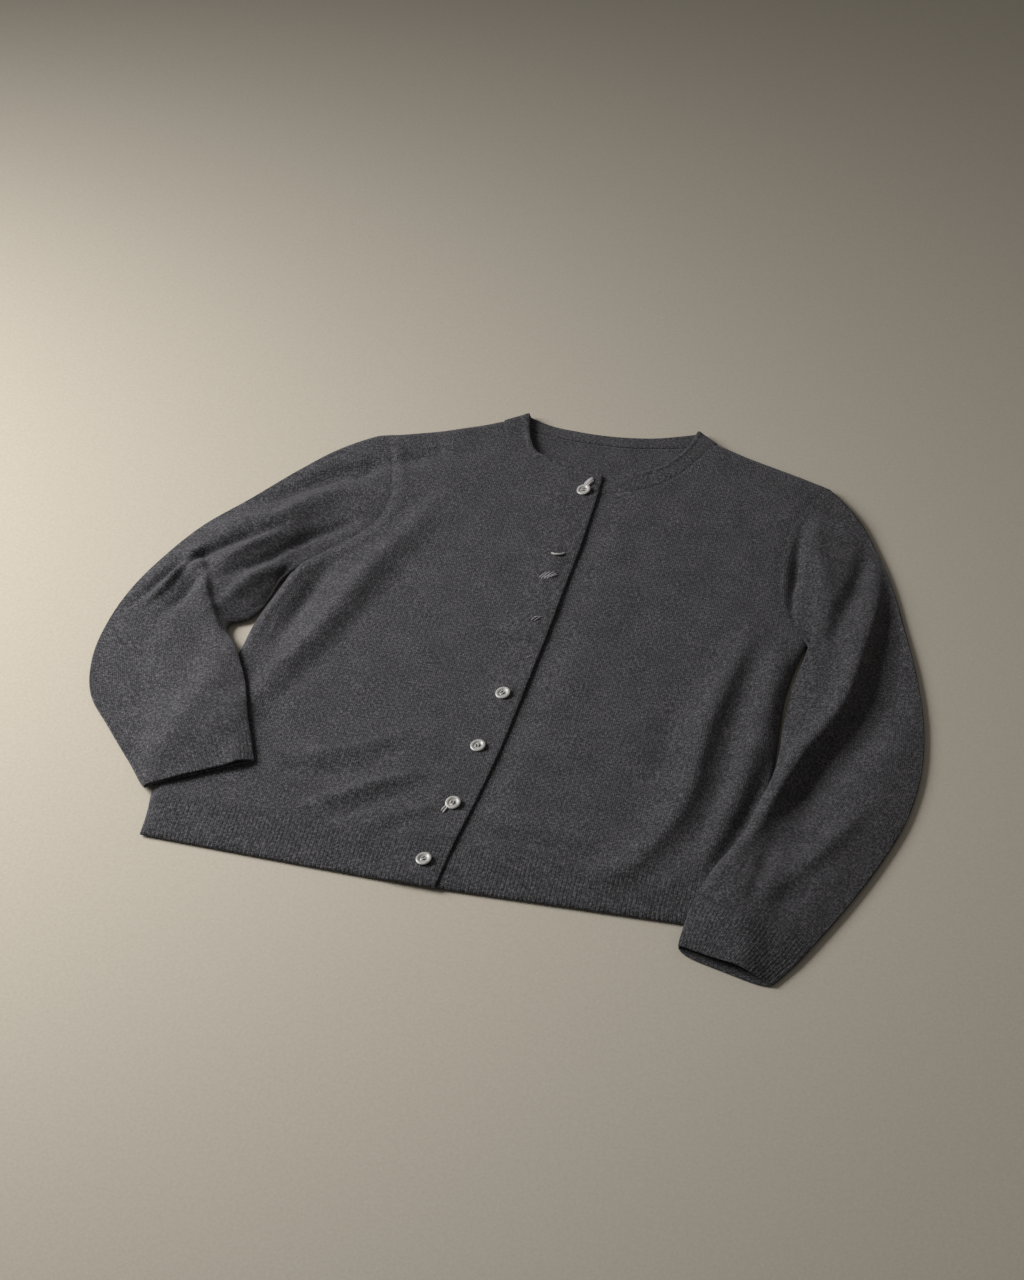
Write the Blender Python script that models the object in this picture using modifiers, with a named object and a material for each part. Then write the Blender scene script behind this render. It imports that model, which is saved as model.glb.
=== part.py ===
"""A fine-knit button cardigan, buttoned and laid flat on its back, for Blender 4.5.

The pieces are laid out as on a paper pattern, in centimetres: x runs to the right along the hem,
y up from the hem to the neck, and z up from the table. Right and left are the wearer's own, so
the right front is at -x, and it buttons over the left front. Each outline is drawn once and is
shared by the pieces that are sewn together along it.
"""

import math
from collections import namedtuple

import bpy
import numpy as np

CM = 0.01
MIDDLE = (0.0, 27.0)  # the pattern's point that lies over the part's origin

# Cloth
KNIT = 0.18  # thickness of the plain knit
BAND = 0.20  # thickness of the neckband
RIB = 0.15  # thickness of the ribbing in its grooves
RIB_RISE = 0.07  # how far a rib stands above its grooves
RIB_PITCH = 0.32  # from one rib to the next
SEAM = 0.04  # space between two pieces along their seam
CLEAR = 0.06  # space between two layers that lie on each other

# Lie of the garment
AIR = 0.36  # air between the back and the fronts
LAP_AIR = 0.14  # air under the left front where the right front lies on it
OVERLAP = 3.0  # how far the right front laps over the left front
STEP = 2.6  # how far beside the lap the left front rises to its full height
CREASE = 0.4  # how far beside the lap it starts to rise
LAP_EASE = 2.0  # how far before the lap the right front starts to rise over it
ROLL = 0.9  # how far in from a folded edge the cloth reaches its full height
MERGE = 7.0  # how far down a sleeve its own height takes over from the body's
RAMP = 1.4  # how far beside the body a sleeve's lower layer comes down to the table
DRAPE = 3.5  # the same for its upper layer
PAST_HEM = 1.4  # how far past the hem a sleeve starts to come down
UNDERARM_SPREAD = 0.16  # how much wider the armhole seam stands open at the underarm
UNDERARM_REACH = 3.0  # how far up from the underarm it does so
FLAT_SHARE = 0.86  # the share of a sleeve's width over which its lower layer lies flat

# How finely the pieces are made
FRONT_ROWS = (7, 7, 8)  # rows to the underarm, to the neck's corner and to the shoulder's roll
FRONT_COLUMNS = 22
ROLL_STEPS = 4  # steps round a folded edge
BACK_ROWS = (5, 10, 4)  # rows to the underarm, to the shoulder's tip and to the neck
SLEEVE_ROWS = 20
CUFF_ROWS = 4
NECK_FROM_TIP = 4.2  # how far below the shoulder's tip the row to the neck's corner starts
LOWER_PLACES = np.array([-0.955, -0.86, -0.6, -0.3, 0.0, 0.3, 0.6, 0.86, 0.955])
NECK_BACK_PLACES = np.array([0, 0.012, 0.045, 0.12, 0.23, 0.34, 0.45, 0.56, 0.67, 0.78, 0.88,
                             0.955, 0.988, 1])
ARMHOLE_BACK_PLACES = np.arange(1, BACK_ROWS[1]) / BACK_ROWS[1]

BACK_LEVEL = KNIT / 2
EDGE_LEVEL = KNIT + 2 * CLEAR
FRONT_LEVEL = KNIT + CLEAR + AIR + KNIT / 2
LAP_LEVEL = KNIT + CLEAR + LAP_AIR + KNIT / 2
OVER_LAP_LEVEL = LAP_LEVEL + KNIT + CLEAR + SEAM / 2
NECK_FOLD_LEVEL = 0.36

# Outlines, as (x, y)
HEM_SIDE_RIGHT = [(-22.7, 0.0), (-22.85, 2.4), (-23.15, 4.7)]
SIDE_RIGHT = [(-23.15, 4.7), (-22.85, 9.2), (-22.15, 13.7), (-21.25, 18.2), (-20.8, 21.7),
              (-20.5, 25.4), (-19.85, 28.5), (-19.05, 31.7)]
ARMHOLE_RIGHT = [(-19.05, 31.7), (-18.25, 33.1), (-16.95, 34.7), (-15.45, 36.4), (-14.15, 38.5),
                 (-13.45, 40.4), (-13.3, 42.2), (-13.65, 44.4), (-14.25, 46.8), (-15.0, 49.1),
                 (-16.4, 50.8)]
SHOULDER_RIGHT = [(-16.4, 50.8), (-11.9, 52.2), (-7.9, 54.0), (-5.9, 55.1)]
HEM_EDGE_RIGHT = [(0.45, -0.9), (0.75, 1.8), (1.05, 4.5)]
EDGE_RIGHT = [(1.05, 4.5), (1.7, 9.1), (2.3, 14.1), (2.7, 19.1), (3.05, 24.1), (3.4, 29.1),
              (3.65, 34.1), (3.95, 39.1), (4.1, 44.1), (4.15, 46.9)]
NECK_RIGHT = [(4.15, 46.9), (1.45, 47.8), (-1.45, 48.5), (-3.45, 49.5), (-4.75, 51.2),
              (-5.45, 53.3), (-5.9, 55.1)]
HEM_SIDE_LEFT = [(22.8, -0.4), (23.0, 2.1), (23.3, 4.5)]
SIDE_LEFT = [(23.3, 4.5), (23.5, 11.3), (23.5, 17.5), (23.35, 21.5), (23.3, 25.5), (23.65, 28.9),
             (24.2, 31.6)]
ARMHOLE_LEFT = [(24.2, 31.6), (23.55, 32.4), (22.55, 33.6), (21.65, 35.4), (21.15, 37.7),
                (20.8, 40.2), (20.8, 42.7), (21.05, 45.2), (21.75, 47.8), (22.65, 49.9),
                (23.7, 51.6)]
SHOULDER_LEFT = [(23.7, 51.6), (20.1, 52.95), (15.1, 54.8), (13.1, 55.7)]
HEM_EDGE_LEFT = [(-2.55, -0.8), (-2.25, 1.8), (-1.95, 4.5)]
EDGE_LEFT = [(-1.95, 4.5), (-1.3, 9.1), (-0.7, 14.1), (0.0, 24.1), (0.5, 34.1), (0.85, 42.1),
             (0.95, 46.3)]
NECK_LEFT = [(0.95, 46.3), (2.75, 46.45), (4.95, 46.95), (6.95, 47.6), (8.75, 48.6), (9.95, 49.8),
             (11.05, 51.4), (11.85, 53.1), (12.5, 54.5), (13.1, 55.7)]
NECK_BACK = [(-5.9, 55.1), (-4.5, 54.85), (-2.55, 54.4), (0.2, 54.0), (3.0, 53.9), (6.0, 54.05),
             (8.6, 54.55), (10.8, 55.15), (13.1, 55.7)]

# The neckband's free edge, over the same three stretches as its seam
FREE_RIGHT = [(4.15, 48.9), (1.75, 49.9), (-0.65, 50.4), (-2.25, 51.2), (-3.05, 52.8),
              (-3.55, 54.7), (-3.9, 56.5)]
FREE_BACK = [(-3.9, 56.5), (-2.95, 56.05), (-1.5, 55.55), (0.6, 55.3), (3.0, 55.2), (5.6, 55.4),
             (7.9, 55.85), (9.6, 56.45), (11.2, 57.1)]
FREE_LEFT = [(0.95, 48.4), (2.55, 48.65), (4.45, 49.3), (6.05, 49.7), (7.45, 50.3), (8.65, 51.2),
             (9.65, 52.4), (10.45, 53.9), (10.95, 55.5), (11.2, 57.1)]

# Sections of a sleeve and its cuff, from the armhole down: the edge away from the body, the edge
# beside the body, how much of the armhole's bend the section keeps, its height, and how far it
# has climbed onto the body where it crosses it
Section = namedtuple("Section", "outer_x outer_y inner_x inner_y bend height climb")
SLEEVE_RIGHT = [
    Section(-16.4, 50.8, -19.05, 31.7, 1.00, 0.60, 0.0),
    Section(-19.0, 48.6, -19.85, 30.6, 0.40, 0.75, 0.0),
    Section(-22.2, 44.6, -20.3, 28.6, 0.16, 0.95, 0.0),
    Section(-25.3, 40.0, -20.8, 26.7, 0.05, 1.05, 0.0),
    Section(-28.1, 36.0, -21.5, 25.3, 0.00, 1.15, 0.0),
    Section(-30.25, 31.4, -22.6, 24.4, 0.00, 1.25, 0.1),
    Section(-31.7, 27.1, -22.5, 23.4, 0.00, 1.25, 0.4),
    Section(-32.4, 22.9, -21.4, 21.6, 0.00, 1.20, 0.9),
    Section(-32.3, 18.2, -20.2, 19.4, 0.00, 1.15, 1.0),
    Section(-31.0, 14.1, -19.1, 17.0, 0.00, 1.10, 1.0),
    Section(-28.8, 11.3, -18.5, 15.2, 0.00, 1.05, 1.0),
    Section(-26.6, 8.6, -17.9, 13.4, 0.00, 1.00, 1.0),
]
CUFF_RIGHT = [
    Section(-26.6, 8.6, -17.9, 13.4, 0.00, 1.00, 1.0),
    Section(-25.1, 6.7, -17.0, 11.2, 0.00, 0.95, 1.0),
    Section(-23.7, 4.8, -16.2, 9.0, 0.00, 1.00, 1.0),
]
SLEEVE_LEFT = [
    Section(23.7, 51.6, 24.2, 31.6, 1.00, 0.60, 0.0),
    Section(26.3, 48.5, 24.65, 30.6, 0.36, 0.75, 0.0),
    Section(28.5, 44.3, 24.15, 28.9, 0.14, 0.95, 0.0),
    Section(30.3, 40.0, 23.8, 26.9, 0.04, 1.10, 0.0),
    Section(31.8, 35.2, 23.7, 24.5, 0.00, 1.15, 0.0),
    Section(33.3, 30.0, 23.85, 21.6, 0.00, 1.20, 0.2),
    Section(34.5, 24.0, 24.0, 18.4, 0.00, 1.20, 0.7),
    Section(34.8, 18.6, 23.55, 15.2, 0.00, 1.20, 1.0),
    Section(34.2, 13.7, 22.75, 12.2, 0.00, 1.15, 1.0),
    Section(32.7, 8.7, 22.15, 8.8, 0.00, 1.15, 1.0),
    Section(30.9, 4.2, 20.8, 5.5, 0.00, 1.15, 1.0),
    Section(29.0, 0.1, 19.85, 2.3, 0.00, 1.20, 1.0),
]
CUFF_LEFT = [
    Section(29.0, 0.1, 19.85, 2.3, 0.00, 1.20, 1.0),
    Section(27.8, -2.3, 19.45, -0.2, 0.00, 1.25, 1.0),
    Section(26.4, -4.5, 19.3, -2.5, 0.00, 1.40, 1.0),
]

# The largest folds: the rise over the cloth around it, the half-widths on the left and the right
# of its line as that is followed, and the line
Fold = namedtuple("Fold", "rise left right line")
BODY_FOLDS = [
    Fold(0.50, 1.0, 1.0, [(-11.8, 37.7), (-13.8, 34.0), (-15.0, 30.5), (-16.8, 24.7),
                          (-18.2, 19.3)]),
    Fold(-0.18, 1.0, 1.0, [(-12.1, 31.9), (-14.1, 26.7), (-15.9, 21.9), (-17.5, 16.9)]),
    Fold(0.34, 0.8, 0.8, [(-3.8, 9.2), (-7.8, 7.5), (-12.2, 4.6)]),
    Fold(-0.14, 0.7, 0.7, [(-5.1, 6.4), (-8.9, 5.6)]),
    Fold(0.16, 1.0, 1.0, [(-2.3, 14.7), (-6.8, 14.1), (-11.3, 11.9)]),
    Fold(0.48, 0.8, 1.0, [(19.2, 29.9), (17.7, 23.9), (16.6, 17.9), (16.1, 12.9), (15.0, 7.5),
                          (12.8, 3.5)]),
    Fold(-0.20, 0.8, 0.8, [(19.7, 28.4), (19.0, 23.4), (18.3, 17.4), (17.7, 10.4), (16.3, 5.9)]),
    Fold(0.42, 0.8, 0.8, [(21.8, 29.5), (21.5, 24.0), (21.1, 19.0), (20.8, 12.0)]),
    Fold(0.18, 0.8, 0.8, [(5.2, 6.9), (8.2, 6.5), (12.2, 6.3)]),
]
LAP_SLACK = Fold(0.30, 1.7, 1.6, [(1.3, 21.6), (1.7, 28.1), (2.0, 35.1), (2.2, 44.1)])
SLEEVE_RIGHT_FOLDS = [
    Fold(0.34, 0.7, 0.7, [(-29.1, 34.5), (-26.0, 36.3), (-23.7, 37.1), (-21.3, 37.3)]),
    Fold(0.24, 0.7, 0.7, [(-22.1, 40.2), (-19.7, 41.3), (-17.2, 42.6)]),
    Fold(-0.30, 0.6, 0.6, [(-27.8, 33.4), (-26.1, 34.8), (-23.8, 35.3)]),
    Fold(-0.26, 0.6, 0.6, [(-21.8, 33.9), (-20.1, 35.2), (-17.8, 37.5)]),
    Fold(0.32, 0.6, 0.6, [(-24.6, 31.5), (-23.0, 33.4), (-20.8, 35.1)]),
    Fold(0.42, 0.7, 0.7, [(-24.0, 29.0), (-22.9, 30.7), (-21.0, 32.3), (-18.6, 33.3)]),
    Fold(-0.24, 0.5, 0.5, [(-20.8, 27.9), (-20.1, 29.5), (-19.3, 31.3)]),
    Fold(0.48, 0.7, 0.7, [(-28.1, 31.1), (-29.0, 29.5), (-29.8, 27.1), (-30.6, 24.5)]),
    Fold(-0.34, 0.7, 0.7, [(-27.6, 30.8), (-28.1, 28.6), (-28.3, 25.8)]),
    Fold(0.50, 0.5, 1.5, [(-26.6, 29.7), (-25.4, 27.6), (-24.4, 25.6), (-23.3, 23.5)]),
]
SLEEVE_LEFT_FOLDS = [
    Fold(-0.20, 0.6, 0.6, [(21.9, 44.7), (21.8, 40.2), (22.4, 35.7)]),
    Fold(0.30, 0.7, 0.8, [(23.2, 44.0), (23.7, 39.0), (24.4, 34.0)]),
    Fold(-0.26, 0.5, 0.5, [(28.6, 44.1), (27.6, 42.3), (27.1, 40.1)]),
    Fold(0.48, 0.9, 1.0, [(28.9, 40.5), (28.6, 34.3), (27.6, 29.3), (26.3, 24.3), (25.1, 19.8),
                          (23.9, 14.8)]),
    Fold(-0.55, 0.9, 0.9, [(30.4, 40.0), (30.4, 34.0), (29.5, 27.5), (28.4, 22.0), (26.7, 16.8),
                           (24.8, 12.0)]),
    Fold(0.34, 0.9, 0.8, [(30.9, 14.5), (29.3, 9.5), (27.5, 5.5), (25.7, 1.9)]),
    Fold(0.28, 0.6, 0.6, [(22.4, 9.0), (21.6, 5.5), (21.1, 1.9)]),
    Fold(-0.22, 0.7, 0.7, [(25.0, 8.8), (23.8, 4.0)]),
]

# Buttons, from the hem up, with the cloth each lies on. Three have slipped back through their
# buttonholes and lie on the left front, under the right front's edge.
Button = namedtuple("Button", "x y on tilt_x tilt_y")
CLOTH_UNDER = {"ribbing": RIB / 2 + RIB_RISE, "knit": KNIT / 2, "band": BAND / 2}
BUTTON_STEPS = 12
BACK_RADIUS = 0.54
BUTTON_PROFILE = [(0.00, 0.13), (0.26, 0.13), (0.42, 0.22), (0.56, 0.20), (0.625, 0.11),
                  (BACK_RADIUS, 0.00), (0.00, 0.00)]  # (radius, height), from the dish's middle
BUTTONS = [
    Button(-0.85, 1.6, "ribbing", 4, -3),
    Button(0.00, 7.8, "knit", -6, 7),
    Button(0.55, 14.2, "knit", 3, 5),
    Button(1.25, 20.5, "knit", -3, -3),
    Button(1.70, 27.3, "left front", 0, 0),
    Button(1.95, 33.2, "left front", 0, 0),
    Button(2.20, 38.4, "left front", 0, 0),
    Button(2.95, 47.4, "band", 14, 12),
]

CHARCOAL = (0.060, 0.060, 0.066)
CHARCOAL_RIB = (0.046, 0.046, 0.051)
PEARL = (0.62, 0.61, 0.59)


def lengths(line):
    """How far along a line each of its points lies."""
    return np.concatenate([[0], np.cumsum(np.linalg.norm(np.diff(line, axis=0), axis=1))])


def drawn(points, samples=160):
    """A smooth line through the points, evenly sampled: a cubic between each two, with the slope
    at each point that of the parabola through it and its neighbours."""
    points = np.array(points, float)
    along = lengths(points)
    slope = np.gradient(points, along, axis=0, edge_order=min(2, len(points) - 1))
    at = np.linspace(0, along[-1], samples)
    i = np.clip(np.searchsorted(along, at, side="right") - 1, 0, len(points) - 2)
    span = (along[i + 1] - along[i])[:, None]
    t = (at - along[i])[:, None] / span
    return ((2 * t**3 - 3 * t**2 + 1) * points[i] + (t**3 - 2 * t**2 + t) * span * slope[i]
            + (3 * t**2 - 2 * t**3) * points[i + 1] + (t**3 - t**2) * span * slope[i + 1])


def joined(*lines):
    """The lines as one; each starts where the one before it ends."""
    return np.concatenate([lines[0], *[line[1:] for line in lines[1:]]])


def pick(line, far):
    """The points that lie this far along a line."""
    along = lengths(line)
    return np.stack([np.interp(far, along, line[:, k]) for k in range(line.shape[1])], axis=1)


def beside(line, distance):
    """The line moved sideways, to its left where the distance is positive."""
    way = np.gradient(line, axis=0)
    way /= np.linalg.norm(way, axis=1, keepdims=True)
    return line + distance * np.stack([-way[:, 1], way[:, 0]], axis=1)


def nearest(line, x, y):
    """For plan points: distance to the line, fraction along it, and +1 on its left or -1."""
    best, place, side = (np.full(x.shape, start) for start in (np.inf, 0.0, 1.0))
    far = lengths(line)
    for k, ((ax, ay), (bx, by)) in enumerate(zip(line[:-1], line[1:])):
        dx, dy = bx - ax, by - ay
        t = np.clip(((x - ax) * dx + (y - ay) * dy) / (dx * dx + dy * dy), 0, 1)
        away = np.hypot(x - ax - t * dx, y - ay - t * dy)
        closer = away < best
        best = np.where(closer, away, best)
        place = np.where(closer, (far[k] + t * (far[k + 1] - far[k])) / far[-1], place)
        side = np.where(closer, np.sign(dx * (y - ay) - dy * (x - ax)), side)
    return best, place, side


def eased(t):
    """0 below 0, 1 above 1, and a soft step between."""
    t = np.clip(t, 0, 1)
    return t * t * (3 - 2 * t)


def rolled(distance, reach):
    """The share of its height that cloth has this far in from a fold: a quarter ellipse."""
    return np.sqrt(1 - (1 - np.clip(distance / reach, 0, 1)) ** 2)


def roll_steps(count):
    """Distances from a folded edge that step evenly round its quarter ellipse."""
    return ROLL * (1 - np.cos(np.linspace(0, math.pi / 2, count)))


def folded(folds, x, y):
    """The height that folds add: a bell across each line, fading out towards its two ends."""
    total = np.zeros(x.shape)
    for fold in folds:
        away, place, side = nearest(drawn(fold.line, 24), x, y)
        width = np.where(side > 0, fold.left, fold.right)
        fade = np.sin(math.pi * (0.12 + 0.76 * place)) ** 0.7
        total += fold.rise * fade * np.exp(-((away / width) ** 2))
    return total


SIDES = {"right": joined(drawn(HEM_SIDE_RIGHT, 20), drawn(SIDE_RIGHT, 80)),
         "left": joined(drawn(HEM_SIDE_LEFT, 20), drawn(SIDE_LEFT, 80))}
SHOULDERS = {"right": drawn(SHOULDER_RIGHT, 40), "left": drawn(SHOULDER_LEFT, 40)}
ARMHOLES = {"right": drawn(ARMHOLE_RIGHT), "left": drawn(ARMHOLE_LEFT)}
NECKS = {"right": drawn(NECK_RIGHT), "left": drawn(NECK_LEFT), "back": drawn(NECK_BACK)}
LAP_LINE = joined(drawn(HEM_EDGE_RIGHT, 20), drawn(EDGE_RIGHT, 80))


def flat_level(x, y, hand):
    """How high a front's middle surface lies away from its folded edges: on a bed of air with
    its folds, and lower under the lap, or just over the lap."""
    level = FRONT_LEVEL + folded(BODY_FOLDS, x, y)
    beyond = x - np.interp(y, LAP_LINE[:, 1], LAP_LINE[:, 0])
    if hand == "left":
        return LAP_LEVEL + (level - LAP_LEVEL) * eased((beyond - CREASE) / STEP)
    over = np.maximum(level, OVER_LAP_LEVEL) + folded([LAP_SLACK], x, y)
    return level + (over - level) * eased(1 + (beyond + OVERLAP) / LAP_EASE)


def front_level(x, y, hand):
    """The same, brought down to the back along the side and the shoulder."""
    edge = np.minimum(nearest(SIDES[hand], x, y)[0], nearest(SHOULDERS[hand], x, y)[0])
    return EDGE_LEVEL + (flat_level(x, y, hand) - EDGE_LEVEL) * rolled(edge, ROLL)


def body_top(x, y, reach):
    """What a sleeve lies on: the body's upper face, and beside it a ramp down to the table."""
    top = np.zeros(x.shape)
    height = FRONT_LEVEL + np.maximum(folded(BODY_FOLDS, x, y), 0) + KNIT / 2 + RIB_RISE
    for hand, inward in (("right", 1), ("left", -1)):
        inside = inward * (x - np.interp(y, SIDES[hand][:, 1], SIDES[hand][:, 0]))
        inside = np.minimum(inside, y + PAST_HEM)
        top = np.maximum(top, (height + CLEAR) * eased(1 + inside / reach))
    return top


def upright(line, normal, ring):
    """An edge's normals without what points across the edge's line in plan. Those of a ring are
    turned into the upright sheet that stands on its two ends."""
    if not ring:
        way = np.gradient(line, axis=0)
        across = np.stack([-way[:, 1], way[:, 0], 0 * way[:, 0]], axis=1)
        across /= np.linalg.norm(way, axis=1, keepdims=True)
        kept = normal - (normal * across).sum(1, keepdims=True) * across
        return kept / np.linalg.norm(kept, axis=1, keepdims=True)
    after, before = np.roll(line, -1, axis=0) - line, np.roll(line, 1, axis=0) - line
    folded_back = (after * before * (1, 1, 0)).sum(1, keepdims=True) > 0
    along = np.where(folded_back, after + before, after - before) * (1, 1, 0)
    ends = line[np.argmax(np.linalg.norm((line - line[0])[:, :2], axis=1))] - line[0]
    along *= np.sign((along * ends).sum(1, keepdims=True))
    across = np.stack([-along[:, 1], along[:, 0], 0 * along[:, 0]], axis=1)
    turned = np.cross(after - before, across)
    turned *= np.sign((turned * normal).sum())
    return turned / np.linalg.norm(turned, axis=1, keepdims=True)


def wall(middle, thickness, square=(), raised=0.0, ring=False, turned=False):
    """Vertices and faces of a closed wall of cloth, lofted about a grid of middle points.

    Its faces lie half the thickness along the grid's normals, with raised added to the outer
    one. At the rows or columns named in square, the normals lose what points across the edge, so
    that the cut edge stands upright over its seam. A ring joins the last column to the first, and
    turned makes the other side the outer one.
    """
    rows, columns, _ = middle.shape
    if ring:
        around = np.concatenate([middle[:, -1:], middle, middle[:, :1]], axis=1)
        across = around[:, 2:] - around[:, :-2]
    else:
        across = np.gradient(middle, axis=1)
    normal = np.cross(across, np.gradient(middle, axis=0)) * (-1 if turned else 1)
    normal /= np.linalg.norm(normal, axis=2, keepdims=True)
    for edge in square:
        normal[edge] = upright(middle[edge], normal[edge], ring)
    outer = middle + normal * (thickness / 2 + np.broadcast_to(raised, (rows, columns)))[..., None]
    inner = middle - normal * thickness / 2
    at = np.arange(rows * columns).reshape(rows, columns)
    if ring:
        at = np.concatenate([at, at[:, :1]], axis=1)
    quads = np.stack([at[:-1, :-1], at[:-1, 1:], at[1:, 1:], at[1:, :-1]], axis=-1).reshape(-1, 4)
    rims = [at[0, ::-1], at[-1]] if ring else [
        np.concatenate([at[0, ::-1], at[1:, 0], at[-1, 1:], at[-2::-1, -1]])]
    sides = [np.stack([rim[:-1], rim[1:]], axis=1) for rim in rims]
    sides = np.concatenate(sides)
    sides = np.concatenate([sides, sides[:, ::-1] + rows * columns], axis=1)
    faces = np.concatenate([quads, quads[:, ::-1] + rows * columns, sides])
    points = np.concatenate([outer.reshape(-1, 3), inner.reshape(-1, 3)])
    return points, faces[:, ::-1] if turned else faces


START, END, FIRST, LAST = np.s_[0], np.s_[-1], np.s_[:, 0], np.s_[:, -1]


def sewn(name, body, material, parent):
    """The piece as an object: its points in metres, under the empty that places the pattern."""
    points, faces = body
    mesh = bpy.data.meshes.new(name)
    mesh.from_pydata((points * CM).tolist(), [], faces.tolist())
    mesh.shade_smooth()
    mesh.set_sharp_from_angle(angle=math.radians(50))
    mesh.materials.append(material)
    piece = bpy.data.objects.new(name, mesh)
    parent.users_collection[0].objects.link(piece)
    piece.parent = parent
    return piece


def raise_up(plan, level):
    """Plan points with their height over the table."""
    return np.concatenate([plan, np.broadcast_to(level, plan.shape[:2])[..., None]], axis=2)


def stations(rungs, steps):
    """How far along two edges each row starts and ends: evenly between paired places."""
    rungs = np.array(rungs, float)
    parts = [rungs[:1]]
    for k, count in enumerate(steps):
        parts.append(rungs[k] + (rungs[k + 1] - rungs[k]) * np.arange(1, count + 1)[:, None] / count)
    return np.concatenate(parts)


def between(starts, ends, columns):
    """Rows of plan points from an edge to another, closer together in the roll of the first."""
    width = np.linalg.norm(ends - starts, axis=1, keepdims=True)
    rest = ROLL + (width - ROLL) * np.linspace(0, 1, columns - ROLL_STEPS)
    roll = np.repeat(roll_steps(ROLL_STEPS + 1)[None, :-1], len(width), axis=0)
    far = np.concatenate([roll, rest], axis=1)
    return starts[:, None] + (ends - starts)[:, None] * (far / width)[..., None]


def front_outline(hand):
    """A front's outer and inner edges, and how far along both each of its rows runs: the rows
    up to the underarm, from there to the neck's corner, and from there to the shoulder."""
    side, edge = {"right": (drawn(SIDE_RIGHT), drawn(EDGE_RIGHT)),
                  "left": (drawn(SIDE_LEFT), drawn(EDGE_LEFT))}[hand]
    outer, inner = joined(side, ARMHOLES[hand]), joined(edge, NECKS[hand])
    side_end, edge_end = lengths(side)[-1], lengths(edge)[-1]
    outer_end, inner_end = lengths(outer)[-1], lengths(inner)[-1]
    rungs = [(0, 0), (side_end, side_end), (outer_end - NECK_FROM_TIP, edge_end),
             (outer_end - ROLL, inner_end - ROLL)]
    rows = stations(rungs, FRONT_ROWS)
    roll = (outer_end, inner_end) - roll_steps(ROLL_STEPS)[-2::-1, None]
    return outer, inner, np.concatenate([rows, roll]), side_end, edge_end


def armhole_places(hand):
    """The fractions of the armhole, from the underarm, where the front's rows start."""
    _, _, rows, side_end, _ = front_outline(hand)
    return (rows[FRONT_ROWS[0]:, 0] - side_end) / lengths(ARMHOLES[hand])[-1]


def neck_places(hand):
    """The fractions of the front's neck seam, from its front edge, where its rows end."""
    _, _, rows, _, edge_end = front_outline(hand)
    return (rows[sum(FRONT_ROWS[:2]):, 1] - edge_end) / lengths(NECKS[hand])[-1]


def front(hand, material, parent):
    """A front, from the top of its ribbing to the shoulder: rows from its side and armhole to
    its front edge and neck."""
    outer, inner, rows, _, _ = front_outline(hand)
    plan = between(pick(outer, rows[:, 0]), pick(inner, rows[:, 1]), FRONT_COLUMNS)
    middle = raise_up(plan, front_level(plan[..., 0], plan[..., 1], hand))
    armhole = np.s_[FRONT_ROWS[0] + 1:-1, 0]
    body = wall(middle, KNIT, square=(START, LAST, armhole), turned=hand == "left")
    return sewn("front_" + hand, body, material, parent)


def hem_front(hand, material, parent):
    """A front's ribbing: a column of points for each rib and each groove."""
    lines = {"right": (HEM_SIDE_RIGHT, HEM_EDGE_RIGHT), "left": (HEM_SIDE_LEFT, HEM_EDGE_LEFT)}
    side, edge = (drawn(line, 40) for line in lines[hand])
    rows = np.array([(0, 0), (lengths(side)[-1] - SEAM, lengths(edge)[-1] - SEAM)])
    starts, ends = pick(side, rows[:, 0]), pick(edge, rows[:, 1])
    ribs = round(float(np.linalg.norm(ends[0] - starts[0])) / RIB_PITCH)
    across = np.linspace(0, 1, 2 * ribs + 1)
    plan = starts[:, None] + (ends - starts)[:, None] * across[None, :, None]
    middle = raise_up(plan, front_level(plan[..., 0], plan[..., 1], hand))
    raised = RIB_RISE * (np.arange(len(across)) % 2)
    body = wall(middle, RIB, square=(START, END, LAST), raised=raised, turned=hand == "left")
    return sewn("hem_front_" + hand, body, material, parent)


def back(material, parent):
    """The back, flat on the table: rows from one side, armhole and shoulder to the other, and
    the last rows bend down to the neck seam."""
    edges, ends = [], []
    for hand, side in (("right", drawn(SIDE_RIGHT)), ("left", drawn(SIDE_LEFT))):
        parts = side, ARMHOLES[hand], SHOULDERS[hand]
        edges.append(joined(*parts))
        ends.append([lengths(joined(*parts[:k]))[-1] for k in (1, 2, 3)])
    rows = stations([(0, 0), *zip(*ends)], BACK_ROWS)
    left, right = (pick(edge, rows[:, k]) for k, edge in enumerate(edges))
    across = NECK_BACK_PLACES
    plan = left[:, None] + (right - left)[:, None] * across[None, :, None]
    neck = pick(NECKS["back"], across * lengths(NECKS["back"])[-1])
    bent = np.clip((np.arange(len(rows)) - sum(BACK_ROWS[:2])) / BACK_ROWS[2], 0, 1)
    plan += (neck - plan[-1]) * bent[:, None, None]
    return sewn("back", wall(raise_up(plan, BACK_LEVEL), KNIT), material, parent)


def hem_back(material, parent):
    """The back's ribbing, plain because it rests on the table."""
    sides = [drawn(line, 3) for line in (HEM_SIDE_RIGHT, HEM_SIDE_LEFT)]
    across = np.linspace(0, 1, 9)
    plan = sides[0][:, None] + (sides[1] - sides[0])[:, None] * across[None, :, None]
    plan[-1, :, 1] -= SEAM
    return sewn("hem_back", wall(raise_up(plan, BACK_LEVEL), KNIT), material, parent)


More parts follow.
